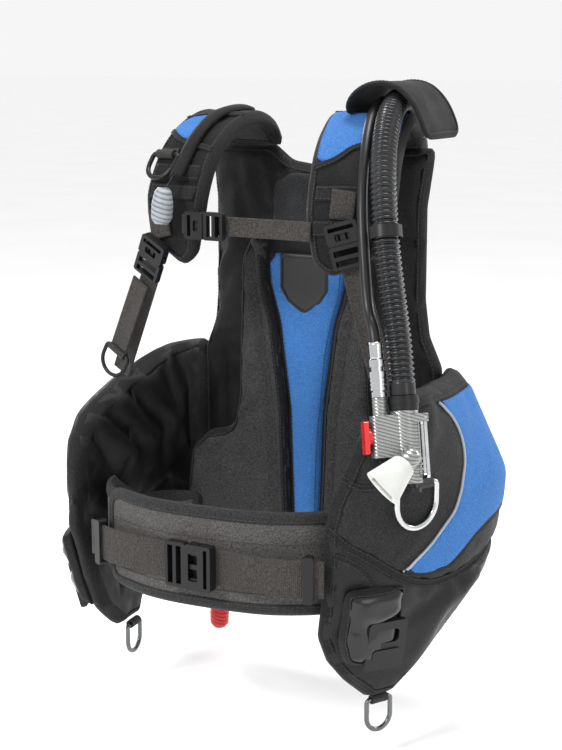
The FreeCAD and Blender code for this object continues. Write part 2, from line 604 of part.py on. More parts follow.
def shoulder_adjusters():
    """Side-release buckles below each strap, their webbing, and the right strap's free end with its ring."""
    strips = []
    for side in (1, -1):
        across, y, z = SHOULDER_AT[side]
        normal = strap_normal(side)
        mouth = strap_point(side, across, y, z) + normal * 17
        down = WEB_FOOT[side] - mouth
        normal = (normal - down * (normal.dot(down) / down.Length ** 2)).normalize()
        up = (down * -1).normalize()
        buckle(f"{NAME[side]}_shoulder_buckle", SHOULDER_WEB, mouth, up, normal)
        start = mouth - up * 14 - normal * 7.4
        strips.append(web_strip(start, start - up * (down.Length - 26), normal, SHOULDER_WEB))
        on_strap = strap_point(side, across - 3, y - 9, z + 52)
        low = mouth + up * 24 + normal * -7.0
        strips.append(web_strip(low, on_strap, strap_normal(side), SHOULDER_WEB))
        if side < 0:
            tail_top = mouth - up * 30 + normal * 5.6
            tail_foot = tail_top - up * TAIL_LENGTH + normal * 4
            strips.append(web_strip(tail_top, tail_foot, normal, SHOULDER_WEB - 2))
            across_tail = up.cross(normal)
            hang = (UP - across_tail * UP.dot(across_tail)).normalize()
            ring_tab("strap_pull_ring", 34, 30, 2.2, 24, 2, 2.5, tail_foot - up * 6, across_tail, normal, hang)
    keep("shoulder_webbing", *strips)


def ring_tab(name, width, drop, radius, tab_width, rise, back, origin, x_axis, normal, hang=None):
    """A D-ring and its webbing tab; the tabs are collected into one sub-part. hang is the ring's own up."""
    ring_normal = normal if hang is None else x_axis.cross(hang)
    keep(name, placed(dring(width, drop, radius), origin, x_axis, ring_normal))
    HINGES[name] = (origin, x_axis)
    TABS.append(placed(dring_tab(tab_width, radius, rise, back), origin, x_axis, normal))


def rings():
    for side, share, inset in ((1, 0.75, 11), (-1, 0.66, 22)):
        origin, x_axis, normal = lobe_axes(side, share, LOBE_BOTTOM[side] - 5.5)
        flat = Vector(normal.x, normal.y, 0).normalize()
        ring_tab(f"{NAME[side]}_hem_ring", 30, 34, 2.5, 19, 4.5, 1.2, origin - flat * inset, x_axis, flat)
    origin, x_axis, normal = lobe_axes(1, 5.05 / 7, 38, 6.6)
    ring_tab("chest_ring", 50, 44, 3.0, 36, 16, 5.0, origin, x_axis, normal)
    normal = strap_normal(-1, -0.80, 0.60)
    origin = strap_point(-1, 20, -236, 337) + normal * 14
    x_axis = FreeCAD.Rotation(UP, -STRAP_YAW[-1]).multVec(Vector(1, 0, 0))
    ring_tab("shoulder_ring", 34, 30, 2.6, 22, 10, 5.2, origin, x_axis, normal)
    keep("ring_tabs", *TABS)


def inflator_axes():
    """The inflator hangs on the end of the corrugated hose: origin, local X to its plain side, and out."""
    end, before = Vector(HOSE_ROUTE[-1]), Vector(HOSE_ROUTE[-2])
    up = (before - end).normalize()
    side = Vector(0.80, 0.60, 0)
    normal = side.cross(up) * -1
    if normal.y > 0:
        normal = normal * -1
    side = up.cross(normal) * -1 if up.cross(normal).x < 0 else up.cross(normal)
    return end, side.normalize(), normal.normalize()


def hoses():
    """The corrugated hose and the thin pressure hose, side by side over the left shoulder."""
    keep("corrugated_hose", tube(HOSE_ROUTE, HOSE_RADIUS))
    axes = inflator_axes()
    lp_end = to_world((LP_OFFSET, 0, 36), *axes)
    above = to_world((LP_OFFSET, 0, 62), *axes)
    route = LP_ROUTE + [tuple(above), tuple(lp_end)]
    keep("pressure_hose", tube(route, LP_RADIUS))

    x, y, z = HOSE_ROUTE[0]
    face = -99.6
    flange = rod((x, face, z - 26), (x, face + 4, z - 26), 20)
    neck = rod((x, face + 3, z - 26), (x, y, z - 26), 14)
    knee = Part.makeSphere(14, Vector(x, y, z - 26))
    riser = rod((x, y, z - 26), (x, y, z - 4.4), 14)
    rim = rod((x, y, z - 11), (x, y, z - 4.4), 16)
    keep("hose_elbow", one(flange.fuse([neck, knee, riser, rim]).removeSplitter()))

    # the figure-eight clip that keeps both hoses together
    a, b = Vector(HOSE_ROUTE[6]), Vector(HOSE_ROUTE[7])
    c, d = Vector(LP_ROUTE[10]), Vector(LP_ROUTE[11])
    thick_at, thin_at = a + (b - a) * 0.5, c + (d - c) * 0.5
    thin_at = thin_at + Vector(0, 0, thick_at.z - thin_at.z)
    along_a, along_c = (b - a).normalize(), (d - c).normalize()
    wall = rod(thick_at - along_a * 6, thick_at + along_a * 6, HOSE_RADIUS + 3)
    wall = wall.fuse(rod(thin_at - along_c * 6, thin_at + along_c * 6, LP_RADIUS + 2.6))
    for point, along, radius in ((thick_at, along_a, HOSE_RADIUS + 0.5), (thin_at, along_c, LP_RADIUS + 0.5)):
        wall = wall.cut(rod(point - along * 9, point + along * 9, radius))
    keep("hose_clip", one(wall.removeSplitter()))

    # threaded fitting at the regulator end, hanging behind the shoulder
    x, y, z = LP_ROUTE[0]
    sleeve = rod((x, y, z - 0.6), (x, y, z - 12), 7.5)
    nut = xy_prism([(x + 8.6 * math.cos(math.radians(60 * i)), y + 8.6 * math.sin(math.radians(60 * i)))
                    for i in range(6)], z - 22, z - 12)
    thread = rod((x, y, z - 22), (x, y, z - 32), 4.76)
    keep("hose_fitting", one(sleeve.fuse([nut, thread]).removeSplitter()))
    return axes


def flap():
    """The fabric flap laid over both hoses on top of the left shoulder."""
    line = [(76, 392, 3), (79, 404, 3), (92, 416, 3), (112, 420.5, 3), (132, 417, 3), (146, 403, 3), (154, 388, 2)]
    band = band_face(line, lambda x, z: Vector(x, -196, z)).extrude(Vector(0, 84, 0))
    keep("hose_flap", one(band))


def inflator(axes):
    """The power inflator: body, buttons, mouthpiece, pressure coupling and the wire clip on its side."""
    def put(shape):
        return placed(shape, *axes)

    collar = rod((0, 0, -0.5), (0, 0, -14), 14.4).fuse(rod((0, 0, -3), (0, 0, -8), 15.2))
    keep("hose_collar", put(collar.removeSplitter()))

    barrel = rod((0, 0, -14.5), (0, 0, -84), 13.5)
    block = rounded_box(-33, 12, -11, 11, -58, -18, 5, "Z")
    bosses = [rod((LP_OFFSET, 0, -19), (LP_OFFSET, 0, -1), 7.2), rod((LP_OFFSET, 0, -2), (LP_OFFSET, 0, 8), 3.6)]
    ribs = [rod((0, 0, z), (0, 0, z - 2), 14.8) for z in (-60, -65, -70)]
    root, tip = Vector(MOUTH_ROOT), Vector(MOUTH_TIP)
    along = (tip - root).normalize()
    knee = root - along * 11
    spigot = [rod((0, 0, -58), knee, 10), Part.makeSphere(10, knee), rod(knee, root, 10)]
    lugs = [box(4, 20.6, *sorted((10 * s, 13 * s)), -26, -18) for s in (1, -1)]
    body = barrel.fuse([block, *bosses, *ribs, *spigot, *lugs])
    body = body.cut(rod((-34, 0, -38), (-20, 0, -38), 8.4)).cut(rod((0, 0, -90), (0, 0, -74), 8.4))
    body = body.cut(rod((CLIP_X, -14, -22), (CLIP_X, 14, -22), 1.7))
    keep("inflator_body", put(one(body)))

    cap = rounded_box(-41, -36.5, -9.5, 9.5, -54, -22, 4, "X")
    keep("inflate_button", put(cap.fuse(rod((-37, 0, -38), (-25, 0, -38), 8.0)).removeSplitter()))
    stem = rod((0, 0, -80), (0, 0, -90), 8.0).fuse(rod((0, 0, -88.5), (0, 0, -93), 11.5))
    keep("deflate_button", put(stem.removeSplitter()))

    start = root + along * 0.6
    circle = Part.Wire([Part.Circle(start, along, 12).toShape()])
    wide = Vector(along.z, 0, -along.x).normalize()
    thin = along.cross(wide)
    points = [tip + wide * (20 * math.cos(t)) + thin * (7 * math.sin(t))
              for t in [2 * math.pi * i / 16 for i in range(16)]]
    curve = Part.BSplineCurve()
    curve.interpolate(points, True)
    outer = Part.makeLoft([circle, Part.Wire([curve.toShape()])], True)
    slot = [tip + along * 2 + wide * a + thin * b for a, b in ((-13, -2.5), (13, -2.5), (13, 2.5), (-13, 2.5))]
    mouth = Part.Face(Part.makePolygon(slot + slot[:1])).extrude(along * -16)
    keep("mouthpiece", put(one(outer.cut(mouth))))

    sleeve = rod((LP_OFFSET, 0, 6), (LP_OFFSET, 0, 24), 8.2).cut(rod((LP_OFFSET, 0, 5), (LP_OFFSET, 0, 28), 6.4))
    for z in (9, 13, 17):
        sleeve = sleeve.cut(rod((LP_OFFSET, 0, z), (LP_OFFSET, 0, z + 1.6), 9).cut(
            rod((LP_OFFSET, 0, z), (LP_OFFSET, 0, z + 1.6), 7.6)))
    keep("coupling_sleeve", put(one(sleeve)))
    core = rod((LP_OFFSET, 0, -0.4), (LP_OFFSET, 0, 35.4), 6.0)
    core = core.fuse(rod((LP_OFFSET, 0, -0.4), (LP_OFFSET, 0, 4.6), 7.6)).fuse(
        rod((LP_OFFSET, 0, 28.6), (LP_OFFSET, 0, 35.4), 7.6)).cut(rod((LP_OFFSET, 0, -3), (LP_OFFSET, 0, 10), 4.0))
    keep("coupling_body", put(one(core.removeSplitter())))

    wire = rounded_box(CLIP_X - 1.5, CLIP_X + 1.5, -9.5, 9.5, -80, -20, 4, "X").cut(
        rounded_box(CLIP_X - 2, CLIP_X + 2, -6.5, 6.5, -77, -25.5, 3, "X"))
    barrel = rod((CLIP_X, -9.5, -22), (CLIP_X, 9.5, -22), 2.6)
    pin = rod((CLIP_X, -12.8, -22), (CLIP_X, 12.8, -22), 1.4)
    keep("inflator_clip", put(one(wire.fuse([barrel, pin]))))


def pull_knob(top, along, cord_from, length=38, radius=11.5):
    """A grooved pull knob with its cord: narrow neck, full belly, rounded end."""
    profile = [(0, 0), (0, 0.5), (0.12, 0.78), (0.45, 1.0), (0.85, 0.95), (1.0, 0.6), (1.0, 0)]
    points = [Vector(r * radius, 0, -d * length) for d, r in profile]
    solid = Part.Face(Part.makePolygon(points + points[:1])).revolve(Vector(), UP, 360)
    for share in (0.3, 0.42, 0.54, 0.66):
        solid = solid.cut(Part.makeTorus(radius * 1.02, 0.8, Vector(0, 0, -length * share), UP))
    solid = one(solid)
    solid.Placement = FreeCAD.Placement(top, FreeCAD.Rotation(Vector(0, 0, -1), along))
    return one(solid.fuse(rod(cord_from, top + along * 6, 1.0)))


def dump_valves():
    """The shoulder dump, pulled by a cord in a sleeve down the right strap, and the dump at the right hip."""
    sleeve = one(side_band(SLEEVE_LINE, -DUMP_ACROSS - 7.5, -DUMP_ACROSS + 7.5))
    sleeve.Placement = strap_frame(-1).multiply(sleeve.Placement)
    mouth = strap_point(-1, DUMP_ACROSS, *SLEEVE_LINE[-1][:2])
    top = strap_point(-1, DUMP_ACROSS, *KNOB_TOP)
    along = (strap_point(-1, DUMP_ACROSS, *KNOB_LOW) - top).normalize()
    pull = (top - mouth).normalize()
    cord_from = mouth - pull * 14
    bore = rod(mouth - pull * 18, mouth + pull * 6, 2.0)
    keep("dump_sleeve", one(sleeve.cut(bore)))
    keep("dump_knob", pull_knob(top, along, cord_from))

    valve = Vector(-122, REAR_VALVE_Y, -128)
    base = rod(valve, valve + Vector(0, 3, 0), 19).fuse(rod(valve + Vector(0, 3, 0), valve + Vector(0, 9, 0), 16))
    hollow = rod(valve + Vector(0, 5, 0), valve + Vector(0, 12, 0), 12.6)
    cap = rod(valve + Vector(0, 4, 0), valve + Vector(0, 10.5, 0), 11.4)
    knob_top = Vector(*REAR_KNOB)
    pull = (knob_top - valve - REAR_CORD).normalize()
    outlet = rod(valve + REAR_CORD - pull * 14, valve + REAR_CORD + pull * 4, 3.6)
    bore = rod(valve + REAR_CORD - pull * 11, valve + REAR_CORD + pull * 6, 2.0)
    keep("rear_dump_valve", one(base.cut(hollow).fuse([cap, outlet]).cut(bore).removeSplitter()))
    keep("rear_dump_knob", pull_knob(knob_top, Vector(0, 0, -1), valve + REAR_CORD - pull * 8, 34, 11.5))


def main():
    os.makedirs("parts", exist_ok=True)
    keep("back_cell", back_cell())
    for side in (1, -1):
        keep(f"{NAME[side]}_lobe", side_lobe(side))
        keep(f"{NAME[side]}_shoulder_strap", shoulder_strap(side))
        weight_pouch(side)
    back_pads()
    backpack()
    carry_handle()
    tank_band()
    cam_buckle()
    cummerbund()
    waist_belt()
    chest_strap()
    shoulder_adjusters()
    rings()
    axes = hoses()
    inflator(axes)
    flap()
    dump_valves()
    for name, solids in NODES.items():
        shape = solids[0] if len(solids) == 1 else Part.makeCompound(solids)
        shape.exportStep(f"parts/{name}.step")
        if not shape.isValid() or any(s.ShapeType != "Solid" for s in solids):
            print("check", name, [s.ShapeType for s in solids])
    print(len(NODES), "nodes")


main()
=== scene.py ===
"""The looks of a scuba buoyancy vest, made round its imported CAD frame.

Lengths are in millimetres until a mesh is made. Each soft piece lies on a smooth surface of its own, where a
point is (u, v) along the cloth and w out of it.
"""

import math

import bmesh
import bpy
import numpy as np
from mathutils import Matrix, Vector, noise
from mathutils.bvhtree import BVHTree
from mathutils.geometry import delaunay_2d_cdt


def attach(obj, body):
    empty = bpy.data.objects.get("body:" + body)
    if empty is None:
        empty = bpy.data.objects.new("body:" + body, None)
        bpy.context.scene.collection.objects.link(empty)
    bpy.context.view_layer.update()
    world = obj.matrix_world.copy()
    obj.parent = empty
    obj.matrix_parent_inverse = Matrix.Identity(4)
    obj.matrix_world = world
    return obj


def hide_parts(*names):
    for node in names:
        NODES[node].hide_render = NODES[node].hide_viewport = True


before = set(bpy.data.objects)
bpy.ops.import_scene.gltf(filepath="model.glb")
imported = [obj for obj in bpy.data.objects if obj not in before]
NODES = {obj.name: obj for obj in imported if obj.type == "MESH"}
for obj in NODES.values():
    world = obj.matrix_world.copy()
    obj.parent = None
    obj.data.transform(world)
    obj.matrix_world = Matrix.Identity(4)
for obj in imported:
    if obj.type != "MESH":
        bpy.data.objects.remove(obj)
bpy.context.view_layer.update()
MM = 0.001
ROOT = "vest"
SIDE_NAME = {1: "left", -1: "right"}

# ---- places shared with the CAD -----------------------------------------------------------------
BACK_LINE = [(-150, -105), (-95, -117), (0, -121), (95, -117), (150, -105)]
PAD_Y = -133.6
STRAP_LINE = [(-121, 350.6), (-131, 369), (-156, 380), (-192, 373), (-228, 348), (-252, 305), (-258, 262),
              (-258, 232)]
STRAP_HALF = {1: 45, -1: 39}
STRAP_X = {1: 91, -1: 83}
STRAP_YAW = {1: 14, -1: 7}
STRAP_TURN_Y = -165
LOBE_PLAN = {
    1: [(154, -104, 20), (176, -103, 26), (197, -122, 32), (211, -165, 36), (207, -225, 34), (189, -280, 30),
        (166, -320, 20), (136, -346, 12)],
    -1: [(-154, -104, 20), (-178, -101, 26), (-203, -118, 34), (-216, -165, 36), (-213, -225, 34),
         (-206, -275, 28), (-192, -312, 20), (-174, -338, 12)],
}
DRAW_IN_Z, LOBE_TOP = 20, 122
LOBE_TOP_PLAN = [(154, -104), (161, -108), (168, -126), (174, -165), (184, -225), (186, -280), (166, -320),
                 (136, -346)]
LEAN_Z = -55
LEAN = {1: (0.17, 0.10), -1: (0.27, 0.08)}
HOSE_ROUTE = [(104, -84, 350), (104, -92, 378), (112, -128, 402), (122, -172, 402), (134, -216, 386),
              (149, -257, 349), (161, -277, 304), (171, -288, 258), (183, -297, 212), (194, -305, 168),
              (201, -312, 130)]
PRESSURE_ROUTE = [(74, -78, 148), (76, -77, 200), (79, -76, 252), (81, -78, 304), (82, -79, 352),
                  (84, -92, 388), (92, -130, 402), (102, -172, 401), (113, -214, 385), (126, -252, 346),
                  (136, -275, 300), (146, -288, 254), (156, -299, 206)]


# ---- lines and outlines -------------------------------------------------------------------------
class Line:
    """A smooth open line through points; u is the distance along it, and past its ends it runs straight."""

    def __init__(self, points):
        self.p = np.array(points, float)
        steps = np.linalg.norm(np.diff(self.p[:, :2], axis=0), axis=1)
        self.u = np.concatenate([[0], np.cumsum(steps)])
        self.m = np.gradient(self.p, self.u, axis=0)
        self.length = self.u[-1]
        self.fine = np.linspace(0, self.length, 400)

    def at(self, u):
        u = np.asarray(u, float)
        inside = np.clip(u, 0, self.length)
        i = np.clip(np.searchsorted(self.u, inside, side="right") - 1, 0, len(self.u) - 2)
        h = (self.u[i + 1] - self.u[i])[..., None]
        t = (inside - self.u[i])[..., None] / h
        a, b, ma, mb = self.p[i], self.p[i + 1], self.m[i] * h, self.m[i + 1] * h
        value = (2 * t ** 3 - 3 * t ** 2 + 1) * a + (t ** 3 - 2 * t ** 2 + t) * ma
        value = value + (3 * t ** 2 - 2 * t ** 3) * b + (t ** 3 - t ** 2) * mb
        past = (u - inside)[..., None]
        ends = np.where(past < 0, self.m[0], self.m[-1])
        return value + past * ends

    def slope(self, u):
        t = self.at(np.asarray(u, float) + 1) - self.at(np.asarray(u, float) - 1)
        return t[..., :2] / np.linalg.norm(t[..., :2], axis=-1, keepdims=True)

    def u_where(self, value, column):
        """The distance along the line at which one column has a value; that column only rises or falls."""
        found = self.at(self.fine)[:, column]
        order = np.argsort(found)
        return float(np.interp(value, found[order], self.fine[order]))


def even(points, step, closed=False):
    """The same line with points about one step apart."""
    p = np.array(points, float)
    if closed:
        p = np.vstack([p, p[:1]])
    at = np.concatenate([[0], np.cumsum(np.linalg.norm(np.diff(p, axis=0), axis=1))])
    count = max(3, int(round(at[-1] / step)))
    wanted = np.linspace(0, at[-1], count + 1)
    if closed:
        wanted = wanted[:-1]
    return np.stack([np.interp(wanted, at, p[:, k]) for k in range(p.shape[1])], 1)


def rounded(corners, step=5.0):
    """A closed outline from corners (u, v, radius), each turned into an arc."""
    places = np.array(corners, float)
    out = []
    for here, before, after in zip(places, np.roll(places, 1, 0), np.roll(places, -1, 0)):
        a, b = (before - here)[:2], (after - here)[:2]
        la, lb = np.linalg.norm(a), np.linalg.norm(b)
        half = math.acos(np.clip(a @ b / (la * lb), -1, 1)) / 2
        reach = min(here[2] / max(math.tan(half), 1e-3), 0.48 * la, 0.48 * lb)
        for t in np.linspace(0, 1, 7):
            out.append(here[:2] + a / la * reach * (1 - t) ** 2 + b / lb * reach * t ** 2)
    return even(out, step, closed=True)


def smooth(points, step=4.0):
    """A smooth open line through a few points of two or three numbers."""
    p = np.array(points, float)
    at = np.concatenate([[0], np.cumsum(np.linalg.norm(np.diff(p, axis=0), axis=1))])
    m = np.gradient(p, at, axis=0)
    out = []
    for i in range(len(p) - 1):
        h = at[i + 1] - at[i]
        t = np.linspace(0, 1, max(3, int(h / 2)))[:-1, None]
        out.append((2 * t ** 3 - 3 * t ** 2 + 1) * p[i] + (t ** 3 - 2 * t ** 2 + t) * m[i] * h
                   + (3 * t ** 2 - 2 * t ** 3) * p[i + 1] + (t ** 3 - t ** 2) * m[i + 1] * h)
    out.append(p[-1:])
    return even(np.vstack(out), step)


def distance(points, line, closed=False):
    """How far each point is from a line."""
    a = np.array(line, float)
    b = np.roll(a, -1, 0) if closed else a[1:]
    a = a if closed else a[:-1]
    best = np.full(len(points), 1e9)
    for s, e in zip(a, b):
        d = e - s
        t = np.clip((points - s) @ d / max(d @ d, 1e-9), 0, 1)
        best = np.minimum(best, np.linalg.norm(points - s - t[:, None] * d, axis=1))
    return best


def inside(points, loop):
    """Which points lie inside a closed outline."""
    x, y = points[:, 0], points[:, 1]
    result = np.zeros(len(points), bool)
    for (x0, y0), (x1, y1) in zip(loop, np.roll(loop, -1, 0)):
        crosses = (y0 > y) != (y1 > y)
        at = x0 + (y - y0) * (x1 - x0) / (y1 - y0 + 1e-12)
        result ^= crosses & (x < at)
    return result


def inward(loop):
    """Unit directions into a closed outline at its points."""
    t = np.roll(loop, -1, 0) - np.roll(loop, 1, 0)
    n = np.stack([-t[:, 1], t[:, 0]], 1) / np.maximum(np.linalg.norm(t, axis=1), 1e-9)[:, None]
    area = np.sum(loop[:, 0] * np.roll(loop[:, 1], -1) - np.roll(loop[:, 0], -1) * loop[:, 1])
    return n if area > 0 else -n


# ---- surfaces that cloth lies on ----------------------------------------------------------------
def wall(points, side, lean=(0, 0), lean_z=-1e6, top=None):
    """An upright surface on a plan line: u along the line, v the height.

    It may lean in and back below a height, and draw in above another toward the plan line of its top.
    """
    line = Line([p[:2] for p in points])
    top_line = Line(top) if top else line

    def place(uv, w=0.0):
        share = np.clip((uv[:, 1:] - DRAW_IN_Z) / (LOBE_TOP + 5 - DRAW_IN_Z), 0, 1) if top else 0.0
        along = uv[:, 0] * top_line.length / line.length
        p = line.at(uv[:, 0]) * (1 - share) + top_line.at(along) * share
        t = line.slope(uv[:, 0]) * (1 - share) + top_line.slope(along) * share
        out = np.stack([t[:, 1], -t[:, 0]], 1) * -side
        drop = np.maximum(lean_z - uv[:, 1], 0)
        w = np.broadcast_to(w, len(uv))
        return np.stack([p[:, 0] + out[:, 0] * w - side * lean[0] * drop,
                         p[:, 1] + out[:, 1] * w + lean[1] * drop, uv[:, 1]], 1)
    return line, place


def splayed(side, across, y, z):
    """Places on a shoulder strap, given across it and by their y and z before the strap is splayed."""
    yaw = math.radians(STRAP_YAW[side] * side)
    x, dy = across * side, y - STRAP_TURN_Y
    return np.stack([side * STRAP_X[side] + x * math.cos(yaw) - dy * math.sin(yaw),
                     STRAP_TURN_Y + x * math.sin(yaw) + dy * math.cos(yaw), z], -1)


def strap_surface(side):
    """The surface of a shoulder strap: u across it, away from the neck, and v along it from the back seam."""
    line = Line(STRAP_LINE)

    def place(uv, w=0.0):
        p, t = line.at(uv[:, 1]), line.slope(uv[:, 1])
        w = np.broadcast_to(w, len(uv))
        return splayed(side, uv[:, 0], p[:, 0] + t[:, 1] * w, p[:, 1] - t[:, 0] * w)
    return place


def flat_front(y):
    """A flat surface facing the wearer: u is x and v is z."""
    def place(uv, w=0.0):
        w = np.broadcast_to(w, len(uv))
        return np.stack([uv[:, 0], y - w, uv[:, 1]], 1)
    return place


# ---- mesh making --------------------------------------------------------------------------------
def mesh_object(name, points, faces, material, span=None):
    """A Blender object from points in millimetres, with its cloth coordinates in the attribute 'span'."""
    mesh = bpy.data.meshes.new(name)
    mesh.from_pydata([tuple(p) for p in np.asarray(points) * MM], [],
                     [tuple(int(i) for i in f) for f in faces])
    mesh.validate()
    work = bmesh.new()
    work.from_mesh(mesh)
    bmesh.ops.recalc_face_normals(work, faces=work.faces)
    work.to_mesh(mesh)
    work.free()
    if span is not None and len(mesh.vertices) == len(span):
        layer = mesh.attributes.new("span", "FLOAT_VECTOR", "POINT")
        layer.data.foreach_set("vector", (np.asarray(span) * MM).astype(np.float32).ravel())
    mesh.polygons.foreach_set("use_smooth", [True] * len(mesh.polygons))
    mesh.materials.append(material)
    obj = bpy.data.objects.new(name, mesh)
    bpy.context.scene.collection.objects.link(obj)
    return obj


def settle(obj, body=ROOT, replaces=()):
    """Gives a piece its body and the CAD nodes that it stands for."""
    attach(obj, body)
    if replaces:
        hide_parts(*replaces)
    return obj


def fill(loop, step, rings=()):
    """Points and triangles that fill a closed outline, the outline's own points first.

    rings are distances in from the outline at which rows of points follow it, for a clean rounded edge.
    """
    lo, hi = loop.min(0), loop.max(0)
    rows = np.arange(lo[1], hi[1], step * 0.87)
    across = np.arange(lo[0], hi[0], step)
    grid = np.array([(x + (j % 2) * step / 2, y) for j, y in enumerate(rows) for x in across])
    deepest = max(rings, default=0.0)
    if len(grid):
        grid = grid[inside(grid, loop)]
        grid = grid[distance(grid, loop, closed=True) > deepest + step * 0.55]
    points = np.vstack([loop, grid]) if len(grid) else loop
    into = sum(np.roll(inward(loop), k, 0) for k in range(-2, 3)) / 5
    for depth in rings:
        row = loop + into * depth
        row = row[inside(row, loop)]
        points = np.vstack([points, row[distance(row, loop, closed=True) > depth * 0.8]])
    ring = list(range(len(loop)))
    edges = [(i, (i + 1) % len(loop)) for i in ring]
    found = delaunay_2d_cdt([Vector(p) for p in points], edges, [ring], 1, 1e-5)
    return np.array([tuple(p) for p in found[0]], float), [tuple(f) for f in found[2]]


def tube_mesh(name, path, radius, material, sides=10, flat=1.0, normals=None):
    """A round or flattened tube along a path; radius may differ from point to point."""
    path = np.asarray(path, float)
    radius = np.broadcast_to(radius, len(path))
    t = np.gradient(path, axis=0)
    t = t / np.maximum(np.linalg.norm(t, axis=1), 1e-9)[:, None]
    if normals is None:
        up = np.array((0.3, 0.4, 0.87)) if abs(t[0] @ (0.3, 0.4, 0.87)) < 0.95 else np.array((1.0, 0, 0))
        normals = []
        for direction in t:
            up = up - direction * (up @ direction)
            up = up / np.linalg.norm(up)
            normals.append(up)
    a = np.asarray(normals, float)
    a = a - t * np.sum(a * t, 1, keepdims=True)
    a = a / np.maximum(np.linalg.norm(a, axis=1), 1e-9)[:, None]
    b = np.cross(t, a)
    turns = np.arange(sides) * 2 * math.pi / sides
    rings = [path + radius[:, None] * (a * math.cos(k) * flat + b * math.sin(k)) for k in turns]
    return loft(name, np.array(rings), material)


def loft(name, columns, material, closed=False):
    """A closed skin through columns of points that go round its section."""
    k, n = columns.shape[:2]
    points = columns.transpose(1, 0, 2).reshape(-1, 3)
    last = n if closed else n - 1
    faces = [(i * k + j, i * k + (j + 1) % k, ((i + 1) % n) * k + (j + 1) % k, ((i + 1) % n) * k + j)
             for i in range(last) for j in range(k)]
    if not closed:
        faces += [tuple(range(k)), tuple(range((n - 1) * k, n * k))]
    along = np.concatenate([[0], np.cumsum(np.linalg.norm(np.diff(columns[0], axis=0), axis=1))])
    across = np.concatenate([[0], np.cumsum(np.linalg.norm(np.diff(columns[:, 0], axis=0), axis=1))])
    span = np.stack([np.tile(across, n), np.repeat(along, k), np.zeros(n * k)], 1)
    return mesh_object(name, points, faces, material, span)


def ribbon(name, path, across, width, thick, replaces=()):
    """Flat webbing along a path; across is the direction of its width at each point."""
    path = smooth(path, 3.0) if len(path) > 2 else even(path, 3.0)
    t = np.gradient(path, axis=0)
    t = t / np.linalg.norm(t, axis=1)[:, None]
    a = np.broadcast_to(np.array(across, float), path.shape)
    a = a - t * np.sum(a * t, 1, keepdims=True)
    a = a / np.linalg.norm(a, axis=1)[:, None]
    n = np.cross(t, a)
    w, h = width / 2, thick / 2
    section = [(-w, 0), (-w + 0.5, h), (-w + 2.2, h), (-w + 2.6, h * 0.82), (0, h * 0.88),
               (w - 2.6, h * 0.82), (w - 2.2, h), (w - 0.5, h), (w, 0), (w - 0.5, -h), (w - 2.2, -h),
               (0, -h * 0.9), (-w + 2.2, -h), (-w + 0.5, -h)]
    columns = np.array([path + a * x + n * y for x, y in section])
    settle(loft(name, columns, WEBBING), ROOT, replaces)


def stitches(name, points, out, body=ROOT):
    """A row of thread stitches on a line of points; out is the way off the cloth."""
    pitch, length, radius, sides = 4.2, 2.7, 0.42, 5
    at = np.concatenate([[0], np.cumsum(np.linalg.norm(np.diff(points, axis=0), axis=1))])
    middles = np.arange(pitch / 2, at[-1], pitch)
    if len(middles) < 1:
        return
    place = [np.stack([np.interp(middles + d, at, points[:, k]) for k in range(3)], 1)
             for d in (-length / 2, 0, length / 2)]
    normal = np.stack([np.interp(middles, at, out[:, k]) for k in range(3)], 1)
    t = place[2] - place[0]
    t = t / np.maximum(np.linalg.norm(t, axis=1), 1e-9)[:, None]
    side = np.cross(t, normal)
    verts, faces = [], []
    for k in range(len(middles)):
        base = len(verts)
        verts.append(place[0][k] - t[k] * radius)
        for ring, bulge in enumerate((0.75, 1.0, 0.75)):
            for a in range(sides):
                turn = 2 * math.pi * a / sides
                way = side[k] * math.cos(turn) + normal[k] * math.sin(turn)
                verts.append(place[ring][k] + radius * bulge * way)
        verts.append(place[2][k] + t[k] * radius)
        first, last, tip = base + 1, base + 1 + 2 * sides, base + 1 + 3 * sides
        for a in range(sides):
            b = (a + 1) % sides
            faces.append((base, first + b, first + a))
            for low in (first, first + sides):
                faces.append((low + a, low + b, low + sides + b, low + sides + a))
            faces.append((last + a, last + b, tip))
    settle(mesh_object(name, verts, faces, THREAD), body)


def two_skins(name, uv, faces, inner, tops, bottoms, material):
    """A closed piece of two skins over one outline: tops has all its points, bottoms those inside the rim."""
    low = np.arange(len(uv))
    low[inner] = len(uv) + np.arange(len(inner))
    both = list(faces) + [tuple(low[i] for i in f[::-1]) for f in faces]
    span = np.vstack([np.column_stack([uv, np.zeros(len(uv))]),
                      np.column_stack([uv[inner], np.ones(len(inner))])])
    return mesh_object(name, np.vstack([tops, bottoms]), both, material, span)


# ---- stuffed pieces -----------------------------------------------------------------------------
RIM_WIDTH = 0.05
RAY_START = 45.0


